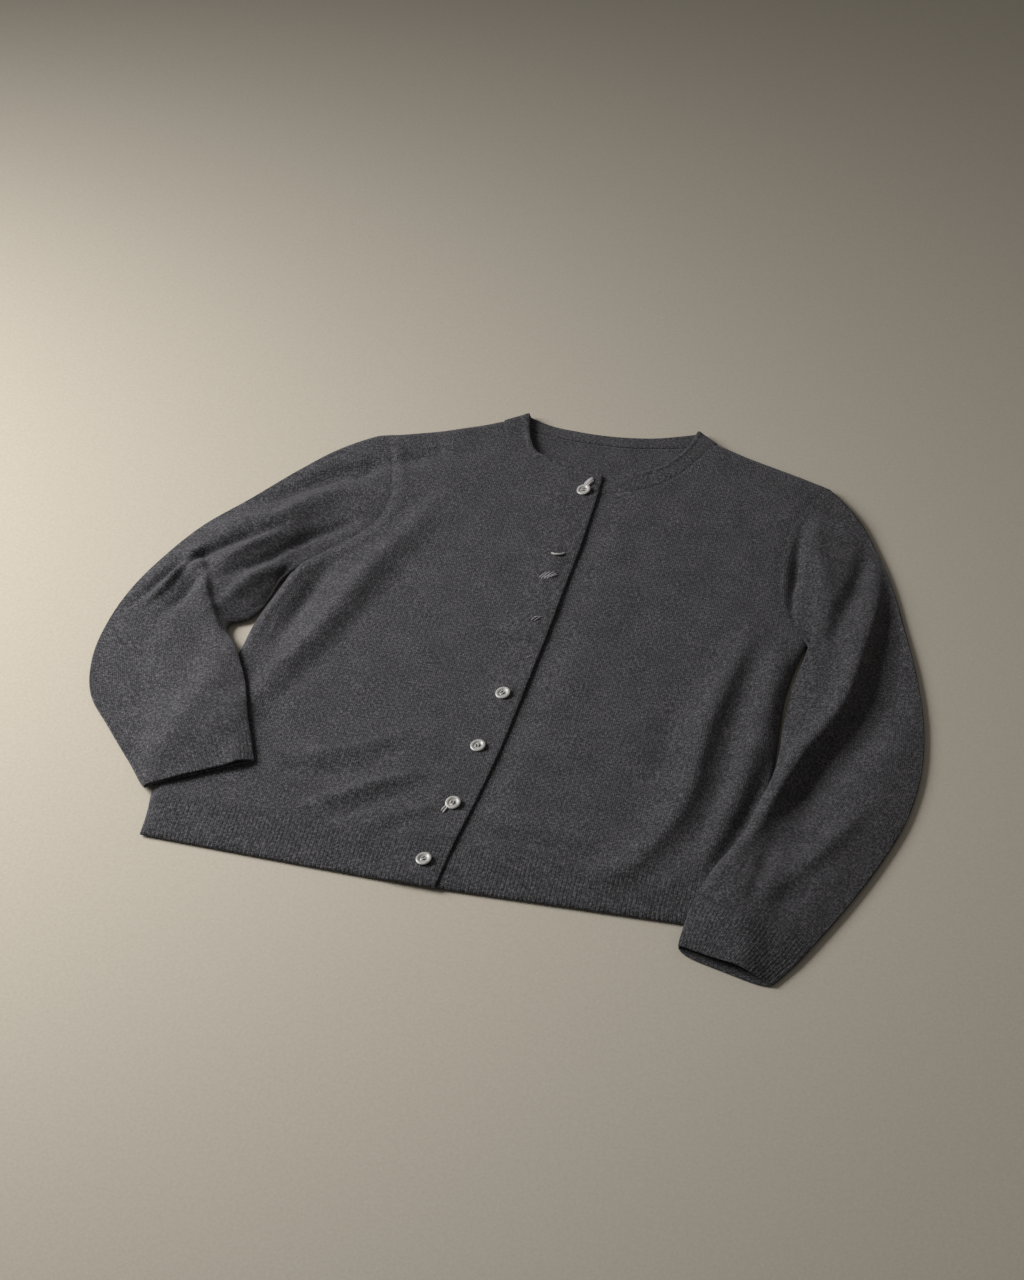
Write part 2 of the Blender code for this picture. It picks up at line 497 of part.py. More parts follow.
def neckband(material, parent):
    """The neckband: from the right front's edge up to its shoulder, over the fold and round the
    back, and over the other fold down to the left front's edge, which lies under the lap."""
    runs = [("right", beside(NECKS["right"], -SEAM), drawn(FREE_RIGHT), neck_places("right")),
            ("back", beside(NECKS["back"], SEAM), drawn(FREE_BACK), NECK_BACK_PLACES[1:-1]),
            ("left", beside(NECKS["left"], SEAM), drawn(FREE_LEFT), neck_places("left")[::-1])]
    grids = []
    for run, seam, free, places in runs:
        far = places * lengths(seam)[-1]
        starts, ends = pick(seam, far), pick(free, places * lengths(free)[-1])
        plan = starts[:, None] + (ends - starts)[:, None] * np.array([0, 0.5, 1])[:, None]
        to_fold = lengths(seam)[-1] - far
        if run == "back":
            share = rolled(np.minimum(far, to_fold), ROLL / 2)[:, None]
            level = NECK_FOLD_LEVEL + (BAND / 2 - NECK_FOLD_LEVEL) * share
        else:
            share = rolled(to_fold, ROLL)[:, None]
            flat = flat_level(plan[..., 0], plan[..., 1], run)
            level = NECK_FOLD_LEVEL + (flat - NECK_FOLD_LEVEL) * share
        grids.append(raise_up(plan, level))
    body = wall(np.concatenate(grids), BAND, square=(START, END, FIRST), turned=True)
    return sewn("neckband", body, material, parent)


def ring_shape(top, bottom):
    """A section's points round from its outer edge: place across, from 1 at the outer edge to -1
    at the inner one, height from 0 to 1, and 1 on the upper layer. The upper layer is domed and
    the lower one is flat with its edges turned up."""
    high = 0.5 + 0.5 * np.clip(1 - top**4, 0, 1) ** 0.25
    turned_up = np.clip((np.abs(bottom) - FLAT_SHARE) / (1 - FLAT_SHARE), 0, 1)
    low = 0.5 - 0.5 * np.sqrt(1 - turned_up**2)
    upper = np.concatenate([np.ones(len(top)), np.zeros(len(bottom))])
    return np.concatenate([top, bottom]), np.concatenate([high, low]), upper


def tube(hand, sections, places, folds, at_armhole):
    """The middle surface of a sleeve or cuff: a ring of points for each section."""
    x_place, height, upper = ring_shape(*places)
    line = ARMHOLES[hand]
    spread = SEAM + UNDERARM_SPREAD * (1 - eased(lengths(line) / UNDERARM_REACH))[:, None]
    line = beside(line, spread if hand == "right" else -spread)
    ends = np.array([0, lengths(line)[-1]]) + (KNIT / 2 + SEAM) * np.array([1, -1])
    from_tip = pick(line, np.linspace(ends[1], ends[0], len(line)))
    outer, inner = sections[:, None, 0:2], sections[:, None, 2:4]
    bend, tall, climb = (sections[:, k, None] for k in (4, 5, 6))
    own = np.ones((len(sections), 1))
    u = (1 - x_place)[None] / 2
    if at_armhole:
        middles = (sections[:, :2] + sections[:, 2:4]) / 2
        own = eased(lengths(middles) / MERGE)[:, None]
        at_seam = 1 - np.concatenate([armhole_places(hand)[::-1], ARMHOLE_BACK_PLACES])
        u = at_seam + (u - at_seam) * own
    bow = np.stack([pick(from_tip, row * lengths(from_tip)[-1]) for row in u + 0 * own])
    bow -= outer[0] + (inner[0] - outer[0]) * u[..., None]
    plan = outer + (inner - outer) * u[..., None] + bow * bend[..., None]
    x, y = plan[..., 0], plan[..., 1]
    lower = BACK_LEVEL + body_top(x, y, RAMP) * climb
    higher = BACK_LEVEL + body_top(x, y, DRAPE) * climb
    creased = folded(folds, x, y) * (1 - x_place**8) * upper * own
    level = np.where(upper > 0, higher, lower) + tall * height + creased
    if at_armhole:
        seam = front_level(x[0], y[0], hand)
        level = np.where(upper > 0, seam + (level - seam) * own, level)
    return raise_up(plan, level)


def sleeve(hand, material, parent):
    """A sleeve, from its armhole to its cuff."""
    table, folds = {"right": (SLEEVE_RIGHT, SLEEVE_RIGHT_FOLDS),
                    "left": (SLEEVE_LEFT, SLEEVE_LEFT_FOLDS)}[hand]
    round_top = np.cos(np.linspace(0, math.pi, len(armhole_places(hand))))
    middle = tube(hand, drawn(table, SLEEVE_ROWS), (round_top, LOWER_PLACES), folds, True)
    body = wall(middle, KNIT, square=(START, END), ring=True, turned=hand == "right")
    return sewn("sleeve_" + hand, body, material, parent)


def cuff(hand, material, parent):
    """A cuff, with its ribs raised on the upper layer."""
    table, folds = {"right": (CUFF_RIGHT, SLEEVE_RIGHT_FOLDS),
                    "left": (CUFF_LEFT, SLEEVE_LEFT_FOLDS)}[hand]
    whole = drawn(table)
    deep = lengths(whole[:, :2])[-1]
    sections = pick(whole, np.linspace(SEAM / deep, 1, CUFF_ROWS) * lengths(whole)[-1])
    ribs = round(float(np.linalg.norm(sections[0, :2] - sections[0, 2:4])) / RIB_PITCH)
    round_top = np.linspace(1, -1, 2 * ribs + 1)
    middle = tube(hand, sections, (round_top, LOWER_PLACES), folds, False)
    raised = RIB_RISE * np.concatenate([np.arange(2 * ribs + 1) % 2, 0 * LOWER_PLACES])
    body = wall(middle, RIB, square=(START, END), raised=raised, ring=True, turned=hand == "right")
    return sewn("cuff_" + hand, body, material, parent)


def seat(at, tilt_x, tilt_y):
    """The height of a button's middle at which its tilted back just clears the cloth."""
    if at.on == "left front":
        return LAP_LEVEL + KNIT / 2 + SEAM
    turns, radii = np.linspace(0, 2 * math.pi, 25), BACK_RADIUS * np.array([[0.0], [0.5], [1.0]])
    x, y = radii * np.cos(turns), radii * np.sin(turns)
    rise = y * math.sin(tilt_x) * math.cos(tilt_y) - x * math.sin(tilt_y)
    top = front_level(at.x + x, at.y + y, "right") + CLOTH_UNDER[at.on]
    return float((top - rise).max()) + SEAM


def button(name, at, material, parent):
    """A turned button with a raised rim round a dish, resting on the cloth under it."""
    mesh = bpy.data.meshes.new(name)
    profile = [(radius * CM, 0, height * CM) for radius, height in BUTTON_PROFILE]
    mesh.from_pydata(profile, [(k, k + 1) for k in range(len(profile) - 1)], [])
    mesh.materials.append(material)
    piece = bpy.data.objects.new(name, mesh)
    parent.users_collection[0].objects.link(piece)
    piece.parent = parent
    turn = piece.modifiers.new("Turn", "SCREW")
    turn.steps = turn.render_steps = BUTTON_STEPS
    turn.use_merge_vertices = True
    turn.merge_threshold = 0.0001
    tilt = math.radians(at.tilt_x), math.radians(at.tilt_y)
    piece.location = (at.x * CM, at.y * CM, seat(at, *tilt) * CM)
    piece.rotation_euler = (*tilt, 0)
    return piece


def principled(name, colour, roughness, sheen=0.0):
    """A plain material of one colour."""
    material = bpy.data.materials.new(name)
    material.use_nodes = True
    shader = material.node_tree.nodes["Principled BSDF"]
    shader.inputs["Base Color"].default_value = (*colour, 1)
    shader.inputs["Roughness"].default_value = roughness
    shader.inputs["Sheen Weight"].default_value = sheen
    return material


def main():
    for thing in list(bpy.data.objects):
        bpy.data.objects.remove(thing)
    garment = bpy.data.collections.new("button_cardigan")
    bpy.context.scene.collection.children.link(garment)
    pattern = bpy.data.objects.new("pattern", None)
    garment.objects.link(pattern)
    pattern.location = (-MIDDLE[0] * CM, -MIDDLE[1] * CM, 0)
    knit = principled("plain_knit", CHARCOAL, 0.9, 0.3)
    ribbing = principled("ribbing", CHARCOAL_RIB, 0.9, 0.3)
    pearl = principled("pearl", PEARL, 0.25)
    back(knit, pattern)
    hem_back(ribbing, pattern)
    for hand in ("left", "right"):
        front(hand, knit, pattern)
        hem_front(hand, ribbing, pattern)
        sleeve(hand, knit, pattern)
        cuff(hand, ribbing, pattern)
    neckband(ribbing, pattern)
    for number, at in enumerate(BUTTONS, start=1):
        button(f"button_{number}", at, pearl, pattern)


main()
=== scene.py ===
# %% [markdown]
# # A fine-knit button cardigan, buttoned and laid flat
#
# A cardigan in fine charcoal wool: two fronts, a back, two sleeves, ribbed hem and cuffs, a round
# neckband and eight small pearl buttons. It lies on its back on a plain surface, one sleeve beside
# the body and the other bent at the elbow and laid across it. Every piece of cloth here is a closed
# wall worked out from a drawn outline and a height over the table, so it has real thickness, real
# folds and a real edge.

# %% The frame
import math
from collections import namedtuple

import bpy
import numpy as np
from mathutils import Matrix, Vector


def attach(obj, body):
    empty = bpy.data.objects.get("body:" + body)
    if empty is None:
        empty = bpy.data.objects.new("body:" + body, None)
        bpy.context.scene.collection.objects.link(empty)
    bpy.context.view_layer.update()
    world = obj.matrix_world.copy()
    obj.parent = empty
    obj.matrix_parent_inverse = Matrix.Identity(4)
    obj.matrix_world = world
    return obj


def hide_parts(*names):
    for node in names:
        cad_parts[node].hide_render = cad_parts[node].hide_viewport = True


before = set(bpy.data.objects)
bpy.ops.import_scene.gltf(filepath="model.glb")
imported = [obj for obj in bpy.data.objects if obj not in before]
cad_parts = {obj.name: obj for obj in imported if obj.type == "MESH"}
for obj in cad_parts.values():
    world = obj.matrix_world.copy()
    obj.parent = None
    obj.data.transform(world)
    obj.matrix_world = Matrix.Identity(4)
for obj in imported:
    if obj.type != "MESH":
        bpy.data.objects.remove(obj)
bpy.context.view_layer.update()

print("cloth and buttons to dress:", ", ".join(sorted(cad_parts)))

# %% [markdown]
# ## Sizes
#
# A knitter works from a flat pattern, so the pieces are drawn in centimetres on one: x runs along
# the hem, y from the hem up to the neck, and z is the height over the table. Only when a mesh is
# made are its points moved to the frame's own metres. Right and left are the wearer's.

# %% Sizes of the cloth and of the way it lies
CM = 0.01  # a centimetre of the pattern in the frame's metres
MIDDLE = (0.0, 27.0)  # the pattern's point over the frame's origin
HANDS = ("right", "left")

KNIT = 0.18  # thickness of the plain knit
BAND = 0.20  # thickness of the neckband
RIB = 0.15  # thickness of the ribbing in its grooves
RIB_RISE = 0.034  # how far a rib stands above its grooves
RIB_PITCH = 0.32  # from one rib to the next
CLEAR = 0.06  # between two layers that lie on each other
SOFT_EDGE = 0.11  # how far in from a free edge the cloth rounds off
EDGE_SHARE = 0.12  # the share of its thickness that the cloth keeps at its very edge

AIR = 0.36  # air between the back and the fronts
LAP_AIR = 0.14  # air under the left front where the right front lies on it
LAP_GAP = 0.02  # and between the two
OVERLAP = 3.0  # how far the right front laps over the left one
STEP = 2.6  # how far beside the lap the left front rises to its full height
CREASE = 0.4  # how far beside the lap it starts to rise
LAP_EASE = 2.0  # how far before the lap the right front starts to rise over it
ROLL = 0.9  # how far in from a folded edge the cloth reaches its full height
MERGE = 7.0  # how far down a sleeve its own height takes over from the body's
RAMP, DRAPE = 1.4, 3.5  # how far beside the body a sleeve's two layers come down to the table
PAST_HEM = 1.4  # how far past the hem a sleeve starts to come down
FLAT_SHARE = 0.86  # the share of a sleeve's width over which its lower layer lies flat
TUBE_EDGE = 0.24  # how high a sleeve's folded edge lies, as a share of its height

TUCK = 0.25  # how far the back's edges stay in behind the rolled edges of the fronts
HEM_TUCK = 0.4  # and the back's hem behind theirs
HEM_ROLL = 0.6  # how far in from the hem the fronts reach the back's upper face
HEM_RISE = 5.0  # and how far in they reach their full height

UNDER_ARM, UNDER_ARM_RISE = 2.4, 0.32  # how far round the underarm, and how high, the edge lifts

# How high the middle of each layer lies.
BACK_LEVEL = KNIT / 2
EDGE_LEVEL = 0.11  # a front's rolled edge
HEM_LEVEL = KNIT + RIB_RISE / 2 + CLEAR + KNIT / 2
FRONT_LEVEL = KNIT + CLEAR + AIR + KNIT / 2
LAP_LEVEL = KNIT + CLEAR + LAP_AIR + KNIT / 2  # the left front under the lap
OVER_LAP = KNIT + LAP_GAP  # from there up to the right front
NECK_FOLD_LEVEL = 0.36  # the neckband, where it folds over at the shoulders
print(f"fronts lie {FRONT_LEVEL * 10:.1f} mm up, {(LAP_LEVEL + OVER_LAP) * 10:.1f} mm over the lap")

# %% [markdown]
# ## The pattern
#
# Each outline is listed once, as the points a cutter would mark, and the pieces sewn together
# along it share it.

# %% Outlines of the fronts, the back and the neckband
HEM_SIDE_RIGHT = [(-22.75, 0.5), (-22.85, 2.5), (-23.15, 4.7)]
SIDE_RIGHT = [(-23.15, 4.7), (-22.85, 9.2), (-22.15, 13.7), (-21.25, 18.2), (-20.8, 21.7),
              (-20.5, 25.4), (-19.85, 28.5), (-19.05, 31.7)]
ARMHOLE_RIGHT = [(-19.05, 31.7), (-18.25, 33.1), (-16.95, 34.7), (-15.45, 36.4), (-14.15, 38.5),
                 (-13.45, 40.4), (-13.3, 42.2), (-13.65, 44.4), (-14.25, 46.8), (-15.0, 49.1),
                 (-16.4, 50.8)]
SHOULDER_RIGHT = [(-16.4, 50.8), (-11.9, 52.2), (-7.9, 54.0), (-5.9, 55.1)]
HEM_EDGE_RIGHT = [(0.5, -0.4), (0.75, 1.9), (1.05, 4.5)]
EDGE_RIGHT = [(1.05, 4.5), (1.7, 9.1), (2.3, 14.1), (2.7, 19.1), (3.05, 24.1), (3.4, 29.1),
              (3.65, 34.1), (3.95, 39.1), (4.1, 44.1), (4.15, 46.9)]
NECK_RIGHT = [(4.15, 46.9), (1.45, 47.8), (-1.45, 48.5), (-3.45, 49.5), (-4.75, 51.2),
              (-5.45, 53.3), (-5.9, 55.1)]
HEM_SIDE_LEFT = [(22.85, 0.1), (23.0, 2.2), (23.3, 4.5)]
SIDE_LEFT = [(23.3, 4.5), (23.5, 11.3), (23.5, 17.5), (23.35, 21.5), (23.3, 25.5), (23.65, 28.9),
             (24.2, 31.6)]
ARMHOLE_LEFT = [(24.2, 31.6), (23.55, 32.4), (22.55, 33.6), (21.65, 35.4), (21.15, 37.7),
                (20.8, 40.2), (20.8, 42.7), (21.05, 45.2), (21.75, 47.8), (22.65, 49.9),
                (23.7, 51.6)]
SHOULDER_LEFT = [(23.7, 51.6), (20.1, 52.95), (15.1, 54.8), (13.1, 55.7)]
HEM_EDGE_LEFT = [(-2.5, -0.3), (-2.25, 1.9), (-1.95, 4.5)]
EDGE_LEFT = [(-1.95, 4.5), (-1.3, 9.1), (-0.7, 14.1), (0.0, 24.1), (0.5, 34.1), (0.85, 42.1),
             (0.95, 46.3)]
NECK_LEFT = [(0.95, 46.3), (2.75, 46.45), (4.95, 46.95), (6.95, 47.6), (8.75, 48.6), (9.95, 49.8),
             (11.05, 51.4), (11.85, 53.1), (12.5, 54.5), (13.1, 55.7)]
NECK_BACK = [(-5.9, 55.1), (-4.5, 54.85), (-2.55, 54.4), (0.2, 54.0), (3.0, 53.9), (6.0, 54.05),
             (8.6, 54.55), (10.8, 55.15), (13.1, 55.7)]
FREE_RIGHT = [(4.15, 48.9), (1.75, 49.9), (-0.65, 50.4), (-2.25, 51.2), (-3.05, 52.8),
              (-3.55, 54.7), (-3.9, 56.5)]
FREE_BACK = [(-3.9, 56.5), (-2.95, 56.05), (-1.5, 55.55), (0.6, 55.3), (3.0, 55.2), (5.6, 55.4),
             (7.9, 55.85), (9.6, 56.45), (11.2, 57.1)]
FREE_LEFT = [(0.95, 48.4), (2.55, 48.65), (4.45, 49.3), (6.05, 49.7), (7.45, 50.3), (8.65, 51.2),
             (9.65, 52.4), (10.45, 53.9), (10.95, 55.5), (11.2, 57.1)]
print("the hem is", round(math.dist(HEM_SIDE_RIGHT[0], HEM_SIDE_LEFT[0]), 1), "cm wide")

# %% [markdown]
# A sleeve is a tube, so its pattern is a list of sections from the armhole down: the edge away
# from the body, the edge beside the body, how much of the armhole's bend the section keeps, its
# height, and how far it has climbed onto the body where it crosses it. A mouth stands open at one
# place across the cuff, from 1 at its outer edge to -1, and rests nearly shut beside it; its lower
# lip may lie out a little further than the upper one.

# %% Sections of the sleeves and cuffs
Section = namedtuple("Section", "outer_x outer_y inner_x inner_y bend height climb")
SLEEVE_RIGHT = [
    Section(-16.4, 50.8, -19.05, 31.7, 1.00, 0.60, 0.0),
    Section(-19.0, 48.6, -19.8, 30.4, 0.40, 0.70, 0.0),
    Section(-22.2, 44.6, -20.2, 28.4, 0.16, 0.85, 0.0),
    Section(-25.3, 40.0, -20.6, 26.6, 0.05, 0.95, 0.0),
    Section(-28.1, 36.0, -21.3, 25.4, 0.00, 1.05, 0.0),
    Section(-30.25, 31.4, -22.5, 24.6, 0.00, 1.10, 0.1),
    Section(-31.7, 27.1, -22.5, 23.4, 0.00, 1.05, 0.4),
    Section(-32.4, 22.9, -21.4, 21.6, 0.00, 0.90, 0.9),
    Section(-32.3, 18.2, -20.2, 19.4, 0.00, 0.80, 1.0),
    Section(-31.0, 14.1, -19.1, 17.0, 0.00, 0.72, 1.0),
    Section(-28.8, 11.3, -18.5, 15.2, 0.00, 0.68, 1.0),
    Section(-26.6, 8.6, -17.9, 13.4, 0.00, 0.65, 1.0),
]
CUFF_RIGHT = [
    SLEEVE_RIGHT[-1],
    Section(-25.1, 6.7, -17.0, 11.2, 0.00, 0.62, 1.0),
    Section(-23.7, 4.8, -16.2, 9.0, 0.00, 0.66, 1.0),
]
SLEEVE_LEFT = [
    Section(23.7, 51.6, 24.2, 31.6, 1.00, 0.60, 0.0),
    Section(26.3, 48.5, 24.65, 30.6, 0.36, 0.72, 0.0),
    Section(28.5, 44.3, 24.15, 28.9, 0.14, 0.82, 0.0),
    Section(30.3, 40.0, 23.8, 26.9, 0.04, 0.84, 0.0),
    Section(31.8, 35.2, 23.7, 24.5, 0.00, 0.84, 0.0),
    Section(33.3, 30.0, 23.7, 21.6, 0.00, 0.82, 0.2),
    Section(34.5, 24.0, 23.85, 18.4, 0.00, 0.80, 0.7),
    Section(34.8, 18.6, 23.65, 15.2, 0.00, 0.76, 1.0),
    Section(34.2, 13.7, 23.0, 12.2, 0.00, 0.74, 1.0),
    Section(32.7, 8.7, 22.3, 8.8, 0.00, 0.72, 1.0),
    Section(30.9, 4.2, 20.9, 5.5, 0.00, 0.74, 1.0),
    Section(29.0, 0.1, 19.85, 2.3, 0.00, 0.70, 1.0),
]
CUFF_LEFT = [
    SLEEVE_LEFT[-1],
    Section(27.8, -2.3, 19.45, -0.2, 0.00, 0.68, 1.0),
    Section(26.4, -4.5, 19.3, -2.5, 0.00, 0.72, 1.0),
]
Mouth = namedtuple("Mouth", "place width rest lip")
MOUTHS = {"right": Mouth(-0.74, 0.22, 0.42, 0.0), "left": Mouth(0.35, 0.55, 0.45, 0.35)}
MOUTH_REACH, LIP_REACH = 4.5, 1.4  # how far up a cuff its mouth's own height and lip are felt
print(len(SLEEVE_RIGHT), "sections a sleeve,", len(CUFF_RIGHT), "a cuff")

# %% [markdown]
# ## Folds
#
# Cloth that is laid down by hand keeps soft ridges and troughs. Each one here is a line drawn on
# the cloth with a rise and two half-widths: a bell across the line that fades towards its ends.
# A cloth simulation would give folds too, but not these ones in these places, so they are listed
# one by one, broad ones first and small ones on top.

# %% The folds of the body and the sleeves
Fold = namedtuple("Fold", "rise left right line")
BODY_FOLDS = [
    Fold(0.64, 1.4, 1.0, [(-9.4, 43.0), (-10.7, 38.7), (-12.1, 34.9), (-13.3, 31.2),
                          (-14.3, 27.2), (-15.5, 23.3), (-16.9, 19.5), (-18.0, 16.4),
                          (-18.8, 14.0)]),
    Fold(-0.14, 1.1, 1.3, [(-8.6, 38.0), (-10.2, 32.6), (-12.2, 27.2), (-14.0, 22.3),
                           (-16.3, 16.8)]),
    Fold(-0.28, 1.1, 1.0, [(-9.8, 49.9), (-12.0, 48.3), (-14.0, 47.2), (-15.6, 46.2)]),
    Fold(0.14, 0.8, 1.0, [(-14.6, 49.4), (-13.3, 46.6), (-12.2, 43.2), (-12.2, 39.6),
                          (-13.4, 36.2)]),
    Fold(-0.58, 0.9, 0.9, [(-15.9, 33.6), (-16.7, 30.8), (-17.2, 28.4), (-17.6, 26.0),
                           (-18.0, 22.6)]),
    Fold(0.18, 0.4, 0.4, [(-18.2, 32.6), (-19.2, 28.8), (-19.8, 25.6), (-20.2, 22.0)]),
    Fold(0.34, 0.6, 0.6, [(-2.9, 10.6), (-4.9, 9.6), (-6.6, 8.5), (-8.3, 7.4), (-11.2, 5.3)]),
    Fold(-0.20, 0.6, 0.7, [(-2.6, 8.7), (-4.9, 7.6), (-6.9, 6.2), (-8.8, 4.7), (-10.6, 3.7)]),
    Fold(0.24, 0.8, 0.7, [(-4.6, 14.8), (-6.4, 13.8), (-8.2, 12.6), (-10.4, 11.5), (-14.2, 10.1)]),
    Fold(-0.16, 0.7, 0.7, [(-5.0, 12.9), (-6.3, 11.8), (-7.7, 10.4), (-9.8, 9.4), (-12.4, 9.1),
                           (-14.9, 8.3)]),
    Fold(0.60, 0.8, 1.3, [(19.6, 31.8), (18.6, 25.4), (17.9, 20.5), (17.7, 16.5), (17.6, 12.9),
                          (17.1, 10.2), (16.2, 7.8), (15.1, 5.4), (13.8, 3.4), (12.4, 2.2)]),
    Fold(-0.20, 0.8, 0.9, [(20.6, 29.0), (19.9, 24.0), (19.7, 18.5), (19.5, 12.5), (18.9, 8.6),
                           (17.7, 6.0), (16.5, 3.8), (15.1, 2.2)]),
    Fold(-0.12, 1.0, 1.0, [(15.8, 26.0), (14.9, 20.0), (14.5, 14.0), (13.7, 9.0)]),
    Fold(0.42, 0.9, 0.9, [(22.3, 31.0), (22.1, 27.0), (22.0, 23.0), (21.8, 18.5), (21.3, 14.0),
                          (20.6, 10.0), (19.8, 6.0)]),
    Fold(-0.42, 0.7, 0.6, [(23.2, 18.0), (22.8, 14.6), (22.3, 11.8), (21.7, 9.2), (20.9, 6.4),
                           (20.2, 4.0)]),
    Fold(0.16, 0.7, 0.6, [(1.8, 6.8), (5.5, 6.7), (8.5, 6.3), (12.6, 5.8)]),
    Fold(-0.14, 0.5, 0.6, [(1.6, 5.3), (5.9, 5.3), (10.4, 4.6), (12.8, 4.4)]),
    Fold(0.14, 0.5, 0.5, [(-1.2, 7.4), (-3.5, 6.1), (-5.7, 5.0)]),
    Fold(-0.12, 0.5, 0.5, [(-2.2, 5.4), (-4.9, 4.1)]),
    Fold(0.10, 0.8, 0.8, [(2.2, 7.0), (3.6, 8.4), (5.2, 9.8)]),
]
LAP_FOLDS = [
    Fold(0.12, 1.7, 1.6, [(1.3, 19.6), (1.7, 28.1), (2.0, 35.1), (2.2, 46.1)]),
    Fold(0.12, 0.45, 0.45, [(1.6, 27.3), (1.8, 27.3)]),
    Fold(0.12, 0.45, 0.45, [(1.9, 33.2), (2.1, 33.2)]),
    Fold(0.14, 0.50, 0.45, [(2.0, 38.8), (2.4, 38.8)]),
    Fold(0.10, 0.40, 0.50, [(1.8, 35.0), (2.5, 35.2)]),
]
SLEEVE_RIGHT_FOLDS = [
    Fold(-0.62, 1.0, 1.1, [(-13.9, 47.4), (-15.0, 46.5), (-16.6, 45.2), (-18.6, 44.4),
                           (-20.1, 43.2), (-21.8, 41.5), (-23.8, 39.6)]),
    Fold(0.52, 0.8, 1.5, [(-26.6, 35.6), (-24.4, 36.8), (-22.3, 37.3), (-20.8, 39.0),
                          (-19.6, 40.6), (-18.0, 41.8), (-16.0, 42.6)]),
    Fold(-0.60, 0.6, 0.7, [(-31.2, 24.9), (-30.0, 27.2), (-29.1, 29.2), (-27.3, 31.5),
                           (-25.3, 33.6), (-23.2, 35.3), (-21.2, 36.4)]),
    Fold(-0.52, 0.6, 0.7, [(-24.6, 29.2), (-23.4, 30.4), (-22.2, 31.7), (-21.0, 33.1),
                           (-19.8, 34.9), (-18.5, 36.4), (-16.9, 37.6), (-15.4, 38.9)]),
    Fold(0.40, 0.6, 0.6, [(-25.2, 30.6), (-23.9, 32.5), (-22.4, 34.4), (-20.7, 36.2)]),
    Fold(0.42, 0.6, 0.7, [(-24.2, 25.4), (-23.3, 26.8), (-22.5, 28.7), (-21.1, 30.7),
                          (-19.2, 32.1), (-17.4, 33.4)]),
    Fold(-0.34, 0.5, 0.5, [(-20.7, 26.6), (-20.0, 28.2), (-19.1, 30.2), (-18.4, 31.8)]),
    Fold(0.60, 0.4, 0.5, [(-27.4, 32.6), (-27.9, 31.2), (-28.3, 29.6), (-28.7, 27.6),
                          (-30.0, 25.2)]),
    Fold(-0.46, 0.6, 0.7, [(-26.4, 31.2), (-26.3, 29.8), (-26.5, 27.9), (-27.1, 25.9),
                           (-28.2, 24.0)]),
    Fold(0.50, 0.4, 1.1, [(-27.5, 31.8), (-26.5, 30.0), (-25.8, 28.3), (-25.1, 26.5),
                          (-24.1, 24.8), (-22.8, 22.6)]),
    Fold(-0.46, 1.3, 3.2, [(-27.6, 27.0), (-28.6, 24.0), (-28.8, 21.8), (-28.4, 18.3),
                           (-27.4, 14.9), (-25.8, 11.4)]),
]
SLEEVE_LEFT_FOLDS = [
    Fold(-0.66, 0.5, 0.6, [(22.7, 50.0), (21.9, 47.0), (21.8, 43.2), (22.1, 39.6), (22.1, 36.8),
                           (22.5, 33.6), (23.4, 30.8)]),
    Fold(0.34, 0.9, 0.8, [(22.9, 46.4), (23.4, 43.4), (24.4, 40.2), (24.9, 36.8), (24.4, 33.2)]),
    Fold(-0.60, 1.1, 0.8, [(28.6, 46.8), (27.9, 44.2), (27.5, 41.2), (27.1, 38.2), (26.5, 34.2),
                           (26.8, 30.4)]),
    Fold(0.80, 0.7, 1.1, [(28.6, 43.2), (29.2, 38.4), (29.1, 34.1), (28.7, 30.3), (28.4, 26.6),
                          (27.5, 22.9), (25.9, 19.2), (24.8, 15.7), (23.8, 12.2), (22.7, 8.6),
                          (21.8, 5.6)]),
    Fold(-0.90, 2.2, 1.5, [(30.6, 42.0), (30.7, 38.3), (30.6, 34.7), (30.5, 31.2), (30.4, 27.7),
                           (30.0, 24.1), (28.7, 20.4), (26.9, 16.6), (25.3, 13.0), (24.2, 9.7),
                           (23.3, 7.0)]),
    Fold(0.34, 0.8, 0.9, [(31.0, 14.0), (29.4, 10.6), (27.7, 7.6), (26.2, 5.2), (24.9, 3.2)]),
    Fold(0.28, 0.6, 0.6, [(22.0, 8.6), (21.2, 6.0), (20.6, 3.0)]),
    Fold(-0.26, 0.7, 0.7, [(24.7, 9.4), (24.3, 6.4), (24.0, 4.0), (23.6, 1.6)]),
]
BAND_FOLDS = [Fold(-0.13, 0.13, 0.13, [(1.2, 49.0), (1.9, 48.5), (2.7, 47.9)])]  # the buttonhole
print(len(BODY_FOLDS), "folds on the body")

# %% [markdown]
# ## Lines and steps
#
# A few small tools: a smooth line through marked points, places along it, distance from it, two
# soft steps and a soft bump. They work on whole arrays of points at once.


# %% Lines
def lengths(line):
    """How far along a line each of its points lies: the running sum of its steps."""
    return np.concatenate([[0], np.cumsum(np.linalg.norm(np.diff(line, axis=0), axis=1))])


def drawn(points, samples=160):
    """A smooth line through the points, evenly sampled: a cubic between each two, with the slope
    at each point that of the parabola through it and its neighbours."""
    points = np.array(points, float)
    along = lengths(points)
    slope = np.gradient(points, along, axis=0, edge_order=min(2, len(points) - 1))
    at = np.linspace(0, along[-1], samples)
    i = np.clip(np.searchsorted(along, at, side="right") - 1, 0, len(points) - 2)
    span = (along[i + 1] - along[i])[:, None]
    t = (at - along[i])[:, None] / span
    return ((2 * t**3 - 3 * t**2 + 1) * points[i] + (t**3 - 2 * t**2 + t) * span * slope[i]
            + (3 * t**2 - 2 * t**3) * points[i + 1] + (t**3 - t**2) * span * slope[i + 1])


def joined(*lines):
    """The lines as one; each starts where the one before it ends."""
    return np.concatenate([lines[0], *[line[1:] for line in lines[1:]]])


